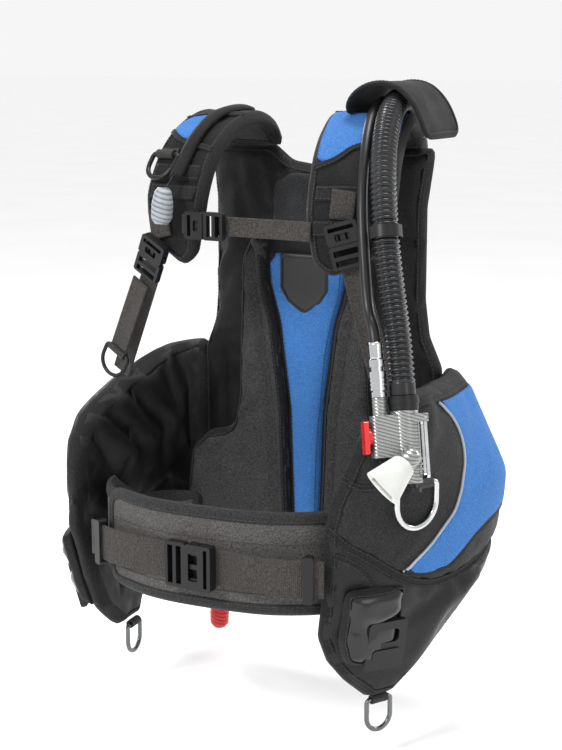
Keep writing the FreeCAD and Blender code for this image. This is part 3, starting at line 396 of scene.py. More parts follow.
class Cushion:
    """A stuffed piece: an outline on a surface, filled between a front and a back skin that meet at the edge.

    front and back are how far each skin stands off the surface, channels are sewn lines (line, depth, width),
    and folds are raised or sunk creases (line, height, width, face) of the front (1) or the back (-1).
    """

    def __init__(self, name, loop, place, front, back, material, edge=16, step=6, channels=(), folds=(),
                 ripple=(0.0, 60.0), body=ROOT, slot="shell_nylon", replaces=(), puff=None):
        self.loop, self.place, self.body, self.name = loop, place, body, name
        self.front, self.back, self.edge = front, back, edge
        self.channels, self.folds, self.ripple = channels, folds, ripple
        uv, faces = fill(loop, step, (edge * 0.08, edge * 0.3, edge * 0.65))
        rim = distance(uv, loop, closed=True) < RIM_WIDTH
        inner = np.flatnonzero(~rim)
        tops = place(uv, self.stand(uv, 1))
        bottoms = place(uv[inner], -self.stand(uv[inner], -1))
        made = two_skins(name, uv, faces, inner, tops, bottoms, material)
        held = np.concatenate([rim, np.zeros(len(inner), bool)])
        for line, _, width in channels:
            held |= distance(np.vstack([uv, uv[inner]]), line) < width * 0.4
        if puff:
            inflate(made, held, *puff)
        points = np.array([v.co for v in made.data.vertices]) / MM
        corners = [tuple(p.vertices) for p in made.data.polygons]
        self.tree = BVHTree.FromPolygons([tuple(p) for p in points], corners)
        settle(made, body, replaces)

    def stand(self, uv, face):
        """How far the front (1) or the back (-1) skin stands off the surface."""
        size = self.front if face > 0 else self.back
        size = size(uv) if callable(size) else np.full(len(uv), float(size))
        d = distance(uv, self.loop, closed=True)
        share = np.sqrt(np.clip(1 - (1 - np.minimum(d / self.edge, 1)) ** 2, 0, 1))
        for line, depth, width in self.channels:
            share = share * (1 - depth * np.exp(-(distance(uv, line) / width) ** 2))
        size = size * share
        amount, scale = self.ripple
        if amount:
            at = [Vector((p[0] / scale, p[1] / scale * 0.6, 3.7 * face)) for p in uv]
            soft = np.array([noise.noise(p) for p in at])
            size = size + amount * soft * share
        for line, height, width, side in self.folds:
            if side == face:
                size = size + height * np.exp(-(distance(uv, np.array(line, float)) / width) ** 2) * share
        return size

    def on(self, uv, lift=0.0, face=1, ease=None):
        """Points on the finished front or back skin, lifted off it.

        ease evens the heights out along the points, which run round a "wrap" or along an "edge".
        """
        uv = np.asarray(uv, float)
        base, far = self.place(uv, 0.0), self.place(uv, face * RAY_START)
        out = far - base
        out = out / np.linalg.norm(out, axis=1)[:, None]
        heights = np.zeros(len(uv))
        for i, (b, o) in enumerate(zip(base, out)):
            hit = self.tree.ray_cast(Vector(b + o * RAY_START), Vector(-o), 80.0)[0]
            if hit is not None:
                heights[i] = (np.array(hit) - b) @ o
        if ease and len(uv) > 7:
            heights = np.convolve(np.pad(heights, 3, mode=ease), np.ones(7) / 7, mode="valid")
        return base + out * (heights + lift)[:, None]

    def out(self, uv, face=1):
        """The way off the front or back skin at points on it."""
        far = self.place(np.asarray(uv, float), face * 10.0) - self.place(np.asarray(uv, float), 0.0)
        return far / np.linalg.norm(far, axis=1)[:, None]


def inflate(obj, held, pressure=4.0, frames=16, cap=7.0, spare=0.0):
    """Blows a stuffed piece up as cloth with its seams held, so that it puckers along them."""
    scene = bpy.context.scene
    scene.frame_set(1)
    group = obj.vertex_groups.new(name="held")
    group.add([int(i) for i in np.flatnonzero(held)], 1.0, "REPLACE")
    start = np.array([v.co for v in obj.data.vertices])
    mod = obj.modifiers.new("cloth", "CLOTH")
    settings = mod.settings
    settings.quality = 5
    settings.mass = 0.25
    settings.tension_stiffness = settings.compression_stiffness = 12
    settings.shear_stiffness = 5
    settings.bending_stiffness = 0.4
    settings.use_pressure = True
    settings.uniform_pressure_force = pressure
    settings.shrink_min = -spare
    settings.vertex_group_mass = "held"
    settings.effector_weights.gravity = 0
    mod.collision_settings.use_collision = False
    mod.point_cache.frame_start, mod.point_cache.frame_end = 1, frames
    for number in range(1, frames + 1):
        scene.frame_set(number)
    done = obj.evaluated_get(bpy.context.evaluated_depsgraph_get()).to_mesh()
    end = np.array([v.co for v in done.vertices])
    obj.modifiers.remove(mod)
    obj.vertex_groups.remove(group)
    move = end - start
    size = np.linalg.norm(move, axis=1)[:, None]
    move = move * np.minimum(1, cap * MM / np.maximum(size, 1e-9))
    obj.data.vertices.foreach_set("co", (start + move).astype(np.float32).ravel())
    obj.data.update()
    scene.frame_set(1)


def binding(cushion, material, width, lift=0.9):
    """Tape folded over the whole edge of a cushion, with its row of stitches."""
    loop = cushion.loop
    into = inward(loop)
    into = sum(np.roll(into, k, 0) for k in range(-3, 4)) / 7
    columns = []
    for face in (1, -1):
        rows = [cushion.on(loop + into * width, -0.8, face, "wrap")]
        rows += [cushion.on(loop + into * width * k, lift, face, "wrap") for k in (1, 0.8, 0.55, 0.3, 0.1)]
        columns += rows[::face]
        if face > 0:
            columns.append(cushion.place(loop - into * 1.3, 0.0))
    folded = loft(cushion.name + "_binding", np.array(columns), material, closed=True)
    settle(folded, cushion.body)
    row = loop + into * (width * 0.78)
    row = np.vstack([row, row[:1]])
    stitches(cushion.name + "_binding_stitch", cushion.on(row, lift + 0.1, 1, "wrap"), cushion.out(row),
             cushion.body)


def drawn(line):
    """A line of a few points made smooth; one of many points is used as it is."""
    return smooth(line, 4.0) if len(line) < 12 else np.asarray(line, float)


def tape(name, cushion, line, width, lift, face=1, stitched=True):
    """A flat tape sewn along a line on a cushion."""
    line = drawn(line)
    t = np.gradient(line, axis=0)
    t = t / np.linalg.norm(t, axis=1)[:, None]
    side = np.stack([-t[:, 1], t[:, 0]], 1)
    half = width / 2
    section = [(-half, -0.8), (-half, lift * 0.7), (-half * 0.6, lift), (0, lift * 1.08), (half * 0.6, lift),
               (half, lift * 0.7), (half, -0.8)]
    columns = np.array([cushion.on(line + side * a, h, face, "edge") for a, h in section])
    settle(loft(name, columns, TAPE), cushion.body)
    for k, a in enumerate((-half * 0.72, half * 0.72) if stitched else ()):
        row = line + side * a
        stitches(f"{name}_stitch_{k}", cushion.on(row, lift + 0.15, face, "edge"), cushion.out(row, face),
                 cushion.body)


def piping(name, cushion, line, material, radius):
    """A thin corded edge along a line on the front of a cushion."""
    path = cushion.on(drawn(line), radius * 0.6)
    settle(tube_mesh(name, path, radius, material, sides=8), cushion.body)


def patch(name, cushion, loop, material, lift, face=1):
    """A panel of cloth sewn on a cushion: a thin closed skin that follows it."""
    uv, faces = fill(loop, 6.0, (1.2, 3.5))
    d = distance(uv, loop, closed=True)
    rim = d < RIM_WIDTH
    rise = 0.5 + (lift - 0.5) * np.clip(d / 4.0, 0, 1) ** 0.5
    tops = cushion.on(uv, np.where(rim, 0.5, rise), face)
    inner = np.flatnonzero(~rim)
    bottoms = cushion.on(uv[inner], -1.0, face)
    settle(two_skins(name, uv, faces, inner, tops, bottoms, material), cushion.body)


# ---- materials ----------------------------------------------------------------------------------
class Maker:
    """A material being put together: its shader, and short ways to add and join nodes."""

    def __init__(self, name, roughness, metallic=0.0, **uniform):
        self.material = bpy.data.materials.new(name)
        self.material.use_nodes = True
        self.tree = self.material.node_tree
        self.shader = self.tree.nodes["Principled BSDF"]
        self.shader.inputs["Roughness"].default_value = roughness
        self.shader.inputs["Metallic"].default_value = metallic
        for key, value in uniform.items():
            self.shader.inputs[key.replace("_", " ")].default_value = value

    def node(self, kind, **values):
        made = self.tree.nodes.new("ShaderNode" + kind)
        for key, value in values.items():
            setattr(made, key, value)
        return made

    def join(self, out, into):
        self.tree.links.new(out, into)

    def math(self, operation, a, b=None):
        """One sum on numbers or sockets."""
        made = self.node("Math", operation=operation)
        for socket, value in zip(made.inputs, (a, b)):
            if value is None:
                continue
            if isinstance(value, (int, float)):
                socket.default_value = value
            else:
                self.join(value, socket)
        return made.outputs[0]

    def coordinates(self, span=False):
        if span:
            return self.node("Attribute", attribute_name="span").outputs["Vector"]
        return self.node("TexCoord").outputs["Object"]

    def noise(self, where, scale, detail=3.0, rough=0.55):
        made = self.node("TexNoise")
        made.inputs["Scale"].default_value = scale
        made.inputs["Detail"].default_value = detail
        made.inputs["Roughness"].default_value = rough
        self.join(where, made.inputs["Vector"])
        return made.outputs["Fac"]

    def stretch(self, where, x, y, z):
        made = self.node("Mapping")
        made.inputs["Scale"].default_value = (x, y, z)
        self.join(where, made.inputs["Vector"])
        return made.outputs["Vector"]

    def mix_colour(self, share, dark, light, low=0.3, high=0.7):
        """A colour between two, as a share goes from low to high."""
        ramp = self.node("ValToRGB")
        ramp.color_ramp.elements[0].position, ramp.color_ramp.elements[1].position = low, high
        ramp.color_ramp.elements[0].color = (*dark, 1)
        ramp.color_ramp.elements[1].color = (*light, 1)
        self.join(share, ramp.inputs["Fac"])
        return ramp.outputs["Color"]

    def blend_colour(self, share, a, b):
        """Two colours mixed, with a fixed share of the second."""
        made = self.node("Mix", data_type="RGBA")
        made.inputs[0].default_value = share
        self.join(a, made.inputs[6])
        self.join(b, made.inputs[7])
        return made.outputs[2]

    def spread(self, value, low, high, into):
        """Sends a 0-to-1 value to a shader input as a range."""
        made = self.node("MapRange")
        made.inputs["From Min"].default_value, made.inputs["From Max"].default_value = 0.3, 0.7
        made.inputs["To Min"].default_value, made.inputs["To Max"].default_value = low, high
        self.join(value, made.inputs["Value"])
        self.join(made.outputs["Result"], self.shader.inputs[into])

    def bump(self, *layers):
        """Bumps in a chain: each layer is a height, its depth in millimetres and its strength."""
        before = None
        for height, depth, strength in layers:
            made = self.node("Bump")
            made.inputs["Distance"].default_value = depth * MM
            made.inputs["Strength"].default_value = strength
            self.join(height, made.inputs["Height"])
            if before:
                self.join(before, made.inputs["Normal"])
            before = made.outputs["Normal"]
        self.join(before, self.shader.inputs["Normal"])


def shade(colour, share):
    """A colour made darker or lighter."""
    return tuple(min(1.0, c * share) for c in colour)


def woven(name, colour, pitch=1.1, depth=0.25, roughness=(0.62, 0.85), mottle=0.28, sheen=0.25, ribs=None,
          gloss=0.35, wrinkle=0.0, worn=0.45, span=True):
    """Woven cloth: threads over and under, with painted highlight on their tops and painted shade between
    them, a mottled tint, paler worn threads and a soft sheen.

    ribs, when given, makes straight cross ribs of that pitch instead of a plain weave.
    """
    m = Maker(name, roughness[0], Sheen_Weight=sheen, Sheen_Roughness=0.5, Specular_IOR_Level=gloss)
    place = m.coordinates()
    span = m.coordinates(span=True) if span else place
    axes = m.node("SeparateXYZ")
    m.join(span, axes.inputs[0])
    turn = 2 * math.pi / (pitch * MM)
    if ribs:
        along = m.math("SINE", m.math("MULTIPLY", axes.outputs["Y"], 2 * math.pi / (ribs * MM)))
        across = m.math("SINE", m.math("MULTIPLY", axes.outputs["X"], 2 * math.pi / (ribs * 0.6 * MM)))
        height = m.math("ADD", m.math("MULTIPLY", along, 0.35), m.math("MULTIPLY", across, 0.15))
    else:
        along = m.math("SINE", m.math("MULTIPLY", axes.outputs["Y"], turn))
        across = m.math("SINE", m.math("MULTIPLY", axes.outputs["X"], turn))
        height = m.math("MULTIPLY", m.math("MULTIPLY", along, across), 0.5)
    height = m.math("ADD", height, 0.5)
    patches = m.noise(place, 28, 4)
    grain = m.noise(place, 620, 2)
    tint = m.mix_colour(patches, shade(colour, 1 - mottle), shade(colour, 1 + mottle))
    # Painted highlight and painted shade of the weave: lighter where the threads stand up, darker in the
    # hollows between them.
    thread = m.mix_colour(height, shade(colour, 0.62), shade(colour, 1.35), 0.15, 0.9)
    rubbed = m.mix_colour(grain, shade(colour, 0.3), shade(colour, 3.0), 0.34, 0.70)
    base = m.blend_colour(0.5, tint, thread)
    base = m.blend_colour(worn, base, rubbed)
    m.join(base, m.shader.inputs["Base Color"])
    m.spread(patches, roughness[0], roughness[1], "Roughness")
    layers = [(height, depth, 0.6), (grain, 0.6, 0.7)]
    if wrinkle:
        layers.insert(0, (m.noise(m.stretch(place, 1.0, 0.6, 0.45), 42, 3), wrinkle, 0.5))
    m.bump(*layers)
    return m.material


def moulded(name, colour, roughness=(0.3, 0.5), grain_depth=0.05, coat=0.0, metallic=0.0, scratch=0.3,
            ribs=None, **uniform):
    """Moulded plastic or metal: a fine grain, uneven gloss, faint scratches and paler rubbed places.

    ribs, when given, is the pitch of shallow moulded ribs round the piece, with painted shade between them.
    """
    m = Maker(name, roughness[0], metallic, Coat_Weight=coat, Coat_Roughness=0.12, **uniform)
    place = m.coordinates()
    broad, fine = m.noise(place, 45, 4), m.noise(place, 1500, 2)
    lines = m.noise(m.stretch(place, 900, 60, 340), 1.0, 2, 0.7)
    tint = m.mix_colour(broad, shade(colour, 0.86), shade(colour, 1.12))
    rubbed = m.mix_colour(lines, shade(colour, 0.95), shade(colour, 1 + scratch), 0.55, 0.75)
    base = m.blend_colour(0.45, tint, rubbed)
    layers = [(fine, grain_depth, 0.5), (lines, grain_depth * 0.3, 0.15)]
    if ribs:
        axes = m.node("SeparateXYZ")
        m.join(place, axes.inputs[0])
        height = m.math("ADD", axes.outputs["Z"], m.math("MULTIPLY", axes.outputs["X"], 0.35))
        wave = m.math("SINE", m.math("MULTIPLY", height, 2 * math.pi / (ribs * MM)))
        wave = m.math("ADD", m.math("MULTIPLY", wave, 0.5), 0.5)
        # Painted shade: the colour darkens in the grooves between the ribs.
        painted_groove_shade = m.mix_colour(wave, shade(colour, 0.3), shade(colour, 1.15), 0.1, 0.5)
        base = m.blend_colour(0.7, base, painted_groove_shade)
        layers.insert(0, (wave, 0.5, 0.6))
    m.join(base, m.shader.inputs["Base Color"])
    m.spread(m.math("MULTIPLY", m.math("ADD", broad, lines), 0.5), roughness[0], roughness[1], "Roughness")
    m.bump(*layers)
    return m.material


NYLON = woven("black_nylon", (0.0055, 0.0055, 0.0062), 1.3, 0.2, (0.42, 0.62), sheen=0.02, gloss=0.17,
              wrinkle=1.6)
LINING = woven("lining_nylon", (0.0075, 0.0075, 0.008), 0.9, 0.12, (0.36, 0.54), sheen=0.02, gloss=0.24,
               wrinkle=1.8)
CORDURA = woven("coarse_nylon", (0.0065, 0.0065, 0.007), 2.0, 0.5, (0.5, 0.75), mottle=0.4, sheen=0.03,
                gloss=0.14, worn=0.6)
LOBE = woven("lobe_nylon", (0.0125, 0.0125, 0.013), 1.6, 0.35, (0.5, 0.72), mottle=0.45, sheen=0.03,
             gloss=0.18, wrinkle=1.4, worn=0.6)
PAD = woven("pad_nylon", (0.026, 0.026, 0.027), 1.8, 0.4, (0.5, 0.75), mottle=0.35, sheen=0.05, gloss=0.18,
            wrinkle=0.7, worn=0.6)
BLUE = woven("blue_nylon", (0.040, 0.142, 0.395), 1.6, 0.35, (0.6, 0.8), mottle=0.12, sheen=0.03, gloss=0.1,
             worn=0.2)
TAPE = woven("binding_tape", (0.0115, 0.0115, 0.012), 1.2, 0.45, (0.55, 0.8), ribs=1.8, mottle=0.4,
             sheen=0.05, gloss=0.1)
GREY_TAPE = woven("grey_binding_tape", (0.020, 0.020, 0.021), 1.2, 0.5, (0.6, 0.85), mottle=0.4, ribs=2.2,
                  sheen=0.06, gloss=0.12)
WEBBING = woven("webbing", (0.034, 0.031, 0.029), 1.6, 0.55, (0.55, 0.8), mottle=0.2, ribs=2.0, sheen=0.05,
                gloss=0.15)
WAIST_CLOTH = woven("waistband_cloth", (0.062, 0.059, 0.057), 1.4, 0.35, (0.6, 0.85), mottle=0.22, sheen=0.05,
                    gloss=0.12)
TAB_WEBBING = woven("tab_webbing", (0.018, 0.017, 0.016), 1.6, 0.5, (0.55, 0.8), ribs=2.0, sheen=0.04,
                    span=False)
THREAD = woven("thread", (0.030, 0.030, 0.033), 0.6, 0.1, (0.5, 0.7), sheen=0.02)
SPACER = woven("spacer_mesh", (0.009, 0.0095, 0.011), 4.2, 1.6, (0.5, 0.8), mottle=0.15, sheen=0.04)
BADGE = moulded("badge_rubber", (0.006, 0.006, 0.007), (0.35, 0.5), 0.08)
PIPING = moulded("piping", (0.34, 0.37, 0.42), (0.35, 0.5))
VINYL = moulded("pouch_vinyl", (0.003, 0.003, 0.0035), (0.12, 0.24), 0.1, coat=0.3, Specular_IOR_Level=0.35)
RUBBER = moulded("hose_rubber", (0.008, 0.008, 0.009), (0.28, 0.45), 0.05, Specular_IOR_Level=0.35)
GLOSS_RUBBER = moulded("ribbed_hose_rubber", (0.009, 0.0095, 0.011), (0.22, 0.36), 0.03, coat=0.12,
                       Specular_IOR_Level=0.35)
PLASTIC = moulded("black_plastic", (0.008, 0.008, 0.009), (0.28, 0.44), 0.06, scratch=0.9,
                  Specular_IOR_Level=0.3)
RED = moulded("red_plastic", (0.62, 0.008, 0.008), (0.12, 0.25), 0.02, coat=0.6, scratch=0.05)
RED_MATTE = moulded("red_knob_plastic", (0.6, 0.012, 0.014), (0.3, 0.45), 0.06, scratch=0.1, ribs=4.5)
GREY = moulded("grey_knob_rubber", (0.27, 0.29, 0.315), (0.45, 0.62), 0.08, scratch=0.08, ribs=5.0)
PALE = moulded("mouthpiece_plastic", (0.57, 0.58, 0.555), (0.34, 0.5), 0.06, scratch=0.08)
SILVER = moulded("silver_plastic", (0.30, 0.31, 0.30), (0.24, 0.36), 0.01, metallic=0.7, coat=0.2,
                 scratch=0.06, ribs=3.0)
CHROME = moulded("chrome", (0.56, 0.57, 0.58), (0.1, 0.2), 0.004, metallic=1.0, scratch=0.05)
STEEL = moulded("polished_steel", (0.56, 0.57, 0.57), (0.16, 0.28), 0.006, metallic=1.0, scratch=0.06)
DARK_STEEL = moulded("dark_steel", (0.16, 0.165, 0.165), (0.2, 0.34), 0.01, metallic=1.0, scratch=0.1)

CAD_MATERIALS = {
    "backpack_plate": PLASTIC, "plate_screws": STEEL, "carry_handle": PLASTIC, "cam_buckle_body": PLASTIC,
    "cam_buckle_lever": PLASTIC, "waist_loops": PLASTIC, "strap_pull_ring": PLASTIC, "shoulder_ring": PLASTIC,
    "left_hem_ring": DARK_STEEL, "right_hem_ring": DARK_STEEL, "chest_ring": STEEL, "hose_elbow": PLASTIC,
    "hose_clip": PLASTIC, "hose_fitting": CHROME, "hose_collar": PLASTIC, "inflator_body": SILVER,
    "inflate_button": RED, "deflate_button": PLASTIC, "mouthpiece": PALE, "coupling_sleeve": CHROME,
    "coupling_body": CHROME, "inflator_clip": CHROME, "dump_knob": GREY, "rear_dump_valve": PLASTIC,
    "rear_dump_knob": RED_MATTE, "left_pouch_grip": PLASTIC, "right_pouch_grip": PLASTIC,
}
for buckle in ("waist", "chest", "left_shoulder", "right_shoulder"):
    for piece in ("socket", "plug", "prongs"):
        CAD_MATERIALS[f"{buckle}_buckle_{piece}"] = PLASTIC


# ---- camera, floor and lights -------------------------------------------------------------------
CAMERA_AZIMUTH, CAMERA_ELEVATION = math.radians(30), math.radians(11.5)
CAMERA_DISTANCE = 1.7
LENS, SENSOR = 75.6, 36.0
LOOK_AT = Vector((0.002, -0.2, 0.11))
FLOOR_Z = -0.262
FLOOR_HALF = 40.0
WORLD_STRENGTH = 0.92


def camera():
    a, e = CAMERA_AZIMUTH, CAMERA_ELEVATION
    back = Vector((math.sin(a) * math.cos(e), -math.cos(a) * math.cos(e), math.sin(e)))
    data = bpy.data.cameras.new("camera")
    data.lens, data.sensor_width = LENS, SENSOR
    made = bpy.data.objects.new("camera", data)
    made.location = LOOK_AT + back * CAMERA_DISTANCE
    made.rotation_mode = "QUATERNION"
    made.rotation_quaternion = (-back).to_track_quat("-Z", "Y")
    bpy.context.scene.collection.objects.link(made)
    bpy.context.scene.camera = made


def floor():
    """A pale flat floor, wide enough to meet the white world at the horizon."""
    verts = [(x * FLOOR_HALF, y * FLOOR_HALF, FLOOR_Z) for x, y in ((-1, -1), (1, -1), (1, 1), (-1, 1))]
    mesh = bpy.data.meshes.new("floor")
    mesh.from_pydata(verts, [], [(0, 1, 2, 3)])
    made = bpy.data.objects.new("floor", mesh)
    m = Maker("floor_paper", 0.9)
    m.join(m.mix_colour(m.noise(m.coordinates(), 3, 3), (0.97, 0.97, 0.97), (1.0, 1.0, 1.0)),
           m.shader.inputs["Base Color"])
    mesh.materials.append(m.material)
    bpy.context.scene.collection.objects.link(made)


def lamp(name, place, power, size):
    data = bpy.data.lights.new(name, "AREA")
    data.shape, data.size, data.energy = "DISK", size, power
    made = bpy.data.objects.new(name, data)
    made.location = place
    made.rotation_mode = "QUATERNION"
    made.rotation_quaternion = (LOOK_AT - Vector(place)).to_track_quat("-Z", "Y")
    bpy.context.scene.collection.objects.link(made)


def lights():
    world = bpy.data.worlds.new("studio")
    world.use_nodes = True
    background = world.node_tree.nodes["Background"].inputs
    background["Color"].default_value = (1, 1, 1, 1)
    background["Strength"].default_value = WORLD_STRENGTH
    bpy.context.scene.world = world
    bpy.context.scene.view_settings.view_transform = "Standard"
    lamp("key", (-0.6, -2.3, 1.5), 40, 0.6)
    lamp("fill", (2.3, -1.3, 0.6), 5, 1.0)
    lamp("top", (0.2, 0.1, 2.1), 24, 0.8)
    lamp("rim", (1.3, 1.6, 1.0), 16, 0.6)
    lamp("rim_left", (-1.9, 0.9, 0.8), 14, 0.6)


camera()
floor()
lights()


# ---- hoses --------------------------------------------------------------------------------------
def route_curve(name, route):
    """A smooth curve with the route's points as its control points."""
    curve = bpy.data.curves.new(name, "CURVE")
    curve.dimensions = "3D"
    curve.resolution_u = 16
    spline = curve.splines.new("NURBS")
    spline.points.add(len(route) - 1)
    for point, place in zip(spline.points, route):
        point.co = (*(Vector(place) * MM), 1)
    spline.order_u = 3
    spline.use_endpoint_u = True
    return curve


def points_of(curve):
    """The points of a curve's own line, in millimetres."""
    holder = bpy.data.objects.new("reader", curve)
    bpy.context.scene.collection.objects.link(holder)
    bpy.context.view_layer.update()
    mesh = bpy.data.meshes.new_from_object(holder)
    found = np.array([v.co for v in mesh.vertices]) / MM
    bpy.data.objects.remove(holder)
    bpy.data.meshes.remove(mesh)
    return found


def corrugated_hose():
    """The wide hose from the shoulder elbow to the inflator: rounded ribs between two plain cuffs."""
    step, pitch, crest, root, cuff = 0.62, 5.4, 13.0, 10.6, 12.0
    path = even(points_of(route_curve("corrugated_route", HOSE_ROUTE)), step)
    at = np.arange(len(path)) * step
    wave = 0.5 + 0.5 * np.cos(2 * math.pi * at / pitch)
    radius = root + (crest - root) * wave ** 0.55
    ends = np.minimum(at, at[-1] - at) < cuff
    radius = np.where(ends, crest - 0.4, radius)
    hose = tube_mesh("corrugated_hose_skin", path, radius, GLOSS_RUBBER, sides=28)
    settle(hose, ROOT, ["corrugated_hose"])


INFLATOR_WAY = (0.80, 0.60, 0)
COUPLING_X = -23


def inflator_frame():
    """The inflator's own place: its origin at the hose's end, its side, its front and its up."""
    end, before = np.array(HOSE_ROUTE[-1], float), np.array(HOSE_ROUTE[-2], float)
    up = (before - end) / np.linalg.norm(before - end)
    out = -np.cross(INFLATOR_WAY, up)
    out = out if out[1] < 0 else -out
    out = out / np.linalg.norm(out)
    side = np.cross(up, out)
    side = side if side[0] > 0 else -side
    y_axis = -out
    x_axis = side - y_axis * (side @ y_axis)
    x_axis = x_axis / np.linalg.norm(x_axis)
    return end, x_axis, y_axis, np.cross(x_axis, y_axis)


def on_inflator(x, y, z):
    """A place given in the inflator's own frame."""
    origin, x_axis, y_axis, z_axis = inflator_frame()
    return origin + x_axis * x + y_axis * y + z_axis * z


def pressure_hose():
    """The thin pressure hose, from the inflator's coupling over the shoulder to its regulator fitting."""
    route = PRESSURE_ROUTE + [tuple(on_inflator(COUPLING_X, 0, z)) for z in (62, 36)]
    curve = route_curve("pressure_hose_line", route[::-1])
    curve.bevel_depth = 5.5 * MM
    curve.bevel_resolution = 6
    curve.use_fill_caps = True
    curve.materials.append(RUBBER)
    hose = bpy.data.objects.new("pressure_hose_skin", curve)
    bpy.context.scene.collection.objects.link(hose)
    settle(hose, ROOT, ["pressure_hose"])
    ferrule = [on_inflator(COUPLING_X, 0, z) for z in (36, 44, 52)]
    settle(tube_mesh("hose_ferrule", even(ferrule, 2.0), 6.6, CHROME, sides=24), ROOT)
    x, y, z = PRESSURE_ROUTE[0]
    crimp = even([(x, y, z - 1), (x + 0.3, y, z + 8), (x + 0.6, y, z + 16)], 2.0)
    settle(tube_mesh("hose_end_crimp", crimp, 6.6, CHROME, sides=24), ROOT)


corrugated_hose()
pressure_hose()


# ---- back of the vest ---------------------------------------------------------------------------
def half_of(points):
    """Half of a wall's thickness, from the third value of its plan points."""
    line = Line([p[:2] for p in points])
    return lambda uv: np.interp(uv[:, 0], line.u, [p[2] / 2 for p in points])


def hump(uv, centre, size):
    """A soft rise of height 1 round a place."""
    return np.exp(-((uv[:, 0] - centre[0]) / size[0]) ** 2 - ((uv[:, 1] - centre[1]) / size[1]) ** 2)


def two_sided(half):
    """The whole outline of a symmetrical piece from its right-hand half."""
    return half + [(-p[0], *p[1:]) for p in half[::-1] if abs(p[0]) > 1]


def back_cell():
    """The air cell across the back, with its seams and the spacer cloth at the neck."""
    line, place = wall(BACK_LINE, -1)
    half = [(0, -165, 20), (100, -165, 26), (146, -120, 26), (148, 116, 20), (134, 150, 30), (129, 190, 30),
            (129, 290, 30), (136, 342, 6), (136, 351, 4), (50, 351, 10), (28, 334, 24), (0, 330, 30)]
    corners = [(line.u_where(p[0], 0), *p[1:]) for p in two_sided(half)]
    middle = line.u_where(0, 0)
    seams = []
    for side in (1, -1):
        seams.append(([(middle + side * 112, -128), (middle + side * 114, 110)], 0.35, 5))
        seams.append(([(middle + side * 60, 262), (middle + side * 122, 250)], 0.3, 4))
        seams.append(([(middle + side * 40, 300), (middle + side * 52, 345)], 0.25, 4))
    folds = [([(middle - 118, 205), (middle - 100, 240), (middle - 92, 300)], 3.5, 9, 1),
             ([(middle - 80, 270), (middle - 96, 322)], -3.0, 7, 1),
             ([(middle + 118, 180), (middle + 96, 240), (middle + 90, 300)], 3.5, 9, 1),
             ([(middle - 60, -140), (middle + 20, -152), (middle + 90, -140)], 3.0, 9, -1),
             ([(middle - 100, -60), (middle - 90, 0), (middle - 104, 60)], 2.5, 8, -1)]
    cell = Cushion("back_cell_skin", rounded(corners), place, 12, 12, NYLON, edge=15, step=7, channels=seams,
                   folds=folds, ripple=(1.6, 40), replaces=["back_cell"], puff=(2.5, 12, 5, 0.02))
    binding(cell, TAPE, 8)
    for k, (seam, _, _) in enumerate(seams):
        tape(f"back_seam_{k}", cell, seam, 7, 1.1, face=-1)
    neck = rounded([(middle - 44, 258, 8), (middle + 44, 258, 8), (middle + 46, 312, 14),
                    (middle + 22, 322, 20), (middle - 22, 322, 20), (middle - 46, 312, 14)])
    patch("neck_spacer", cell, neck, SPACER, 2.6)
    tape("neck_spacer_tape", cell, [(middle - 47, 256), (middle + 47, 256)], 9, 3.0)


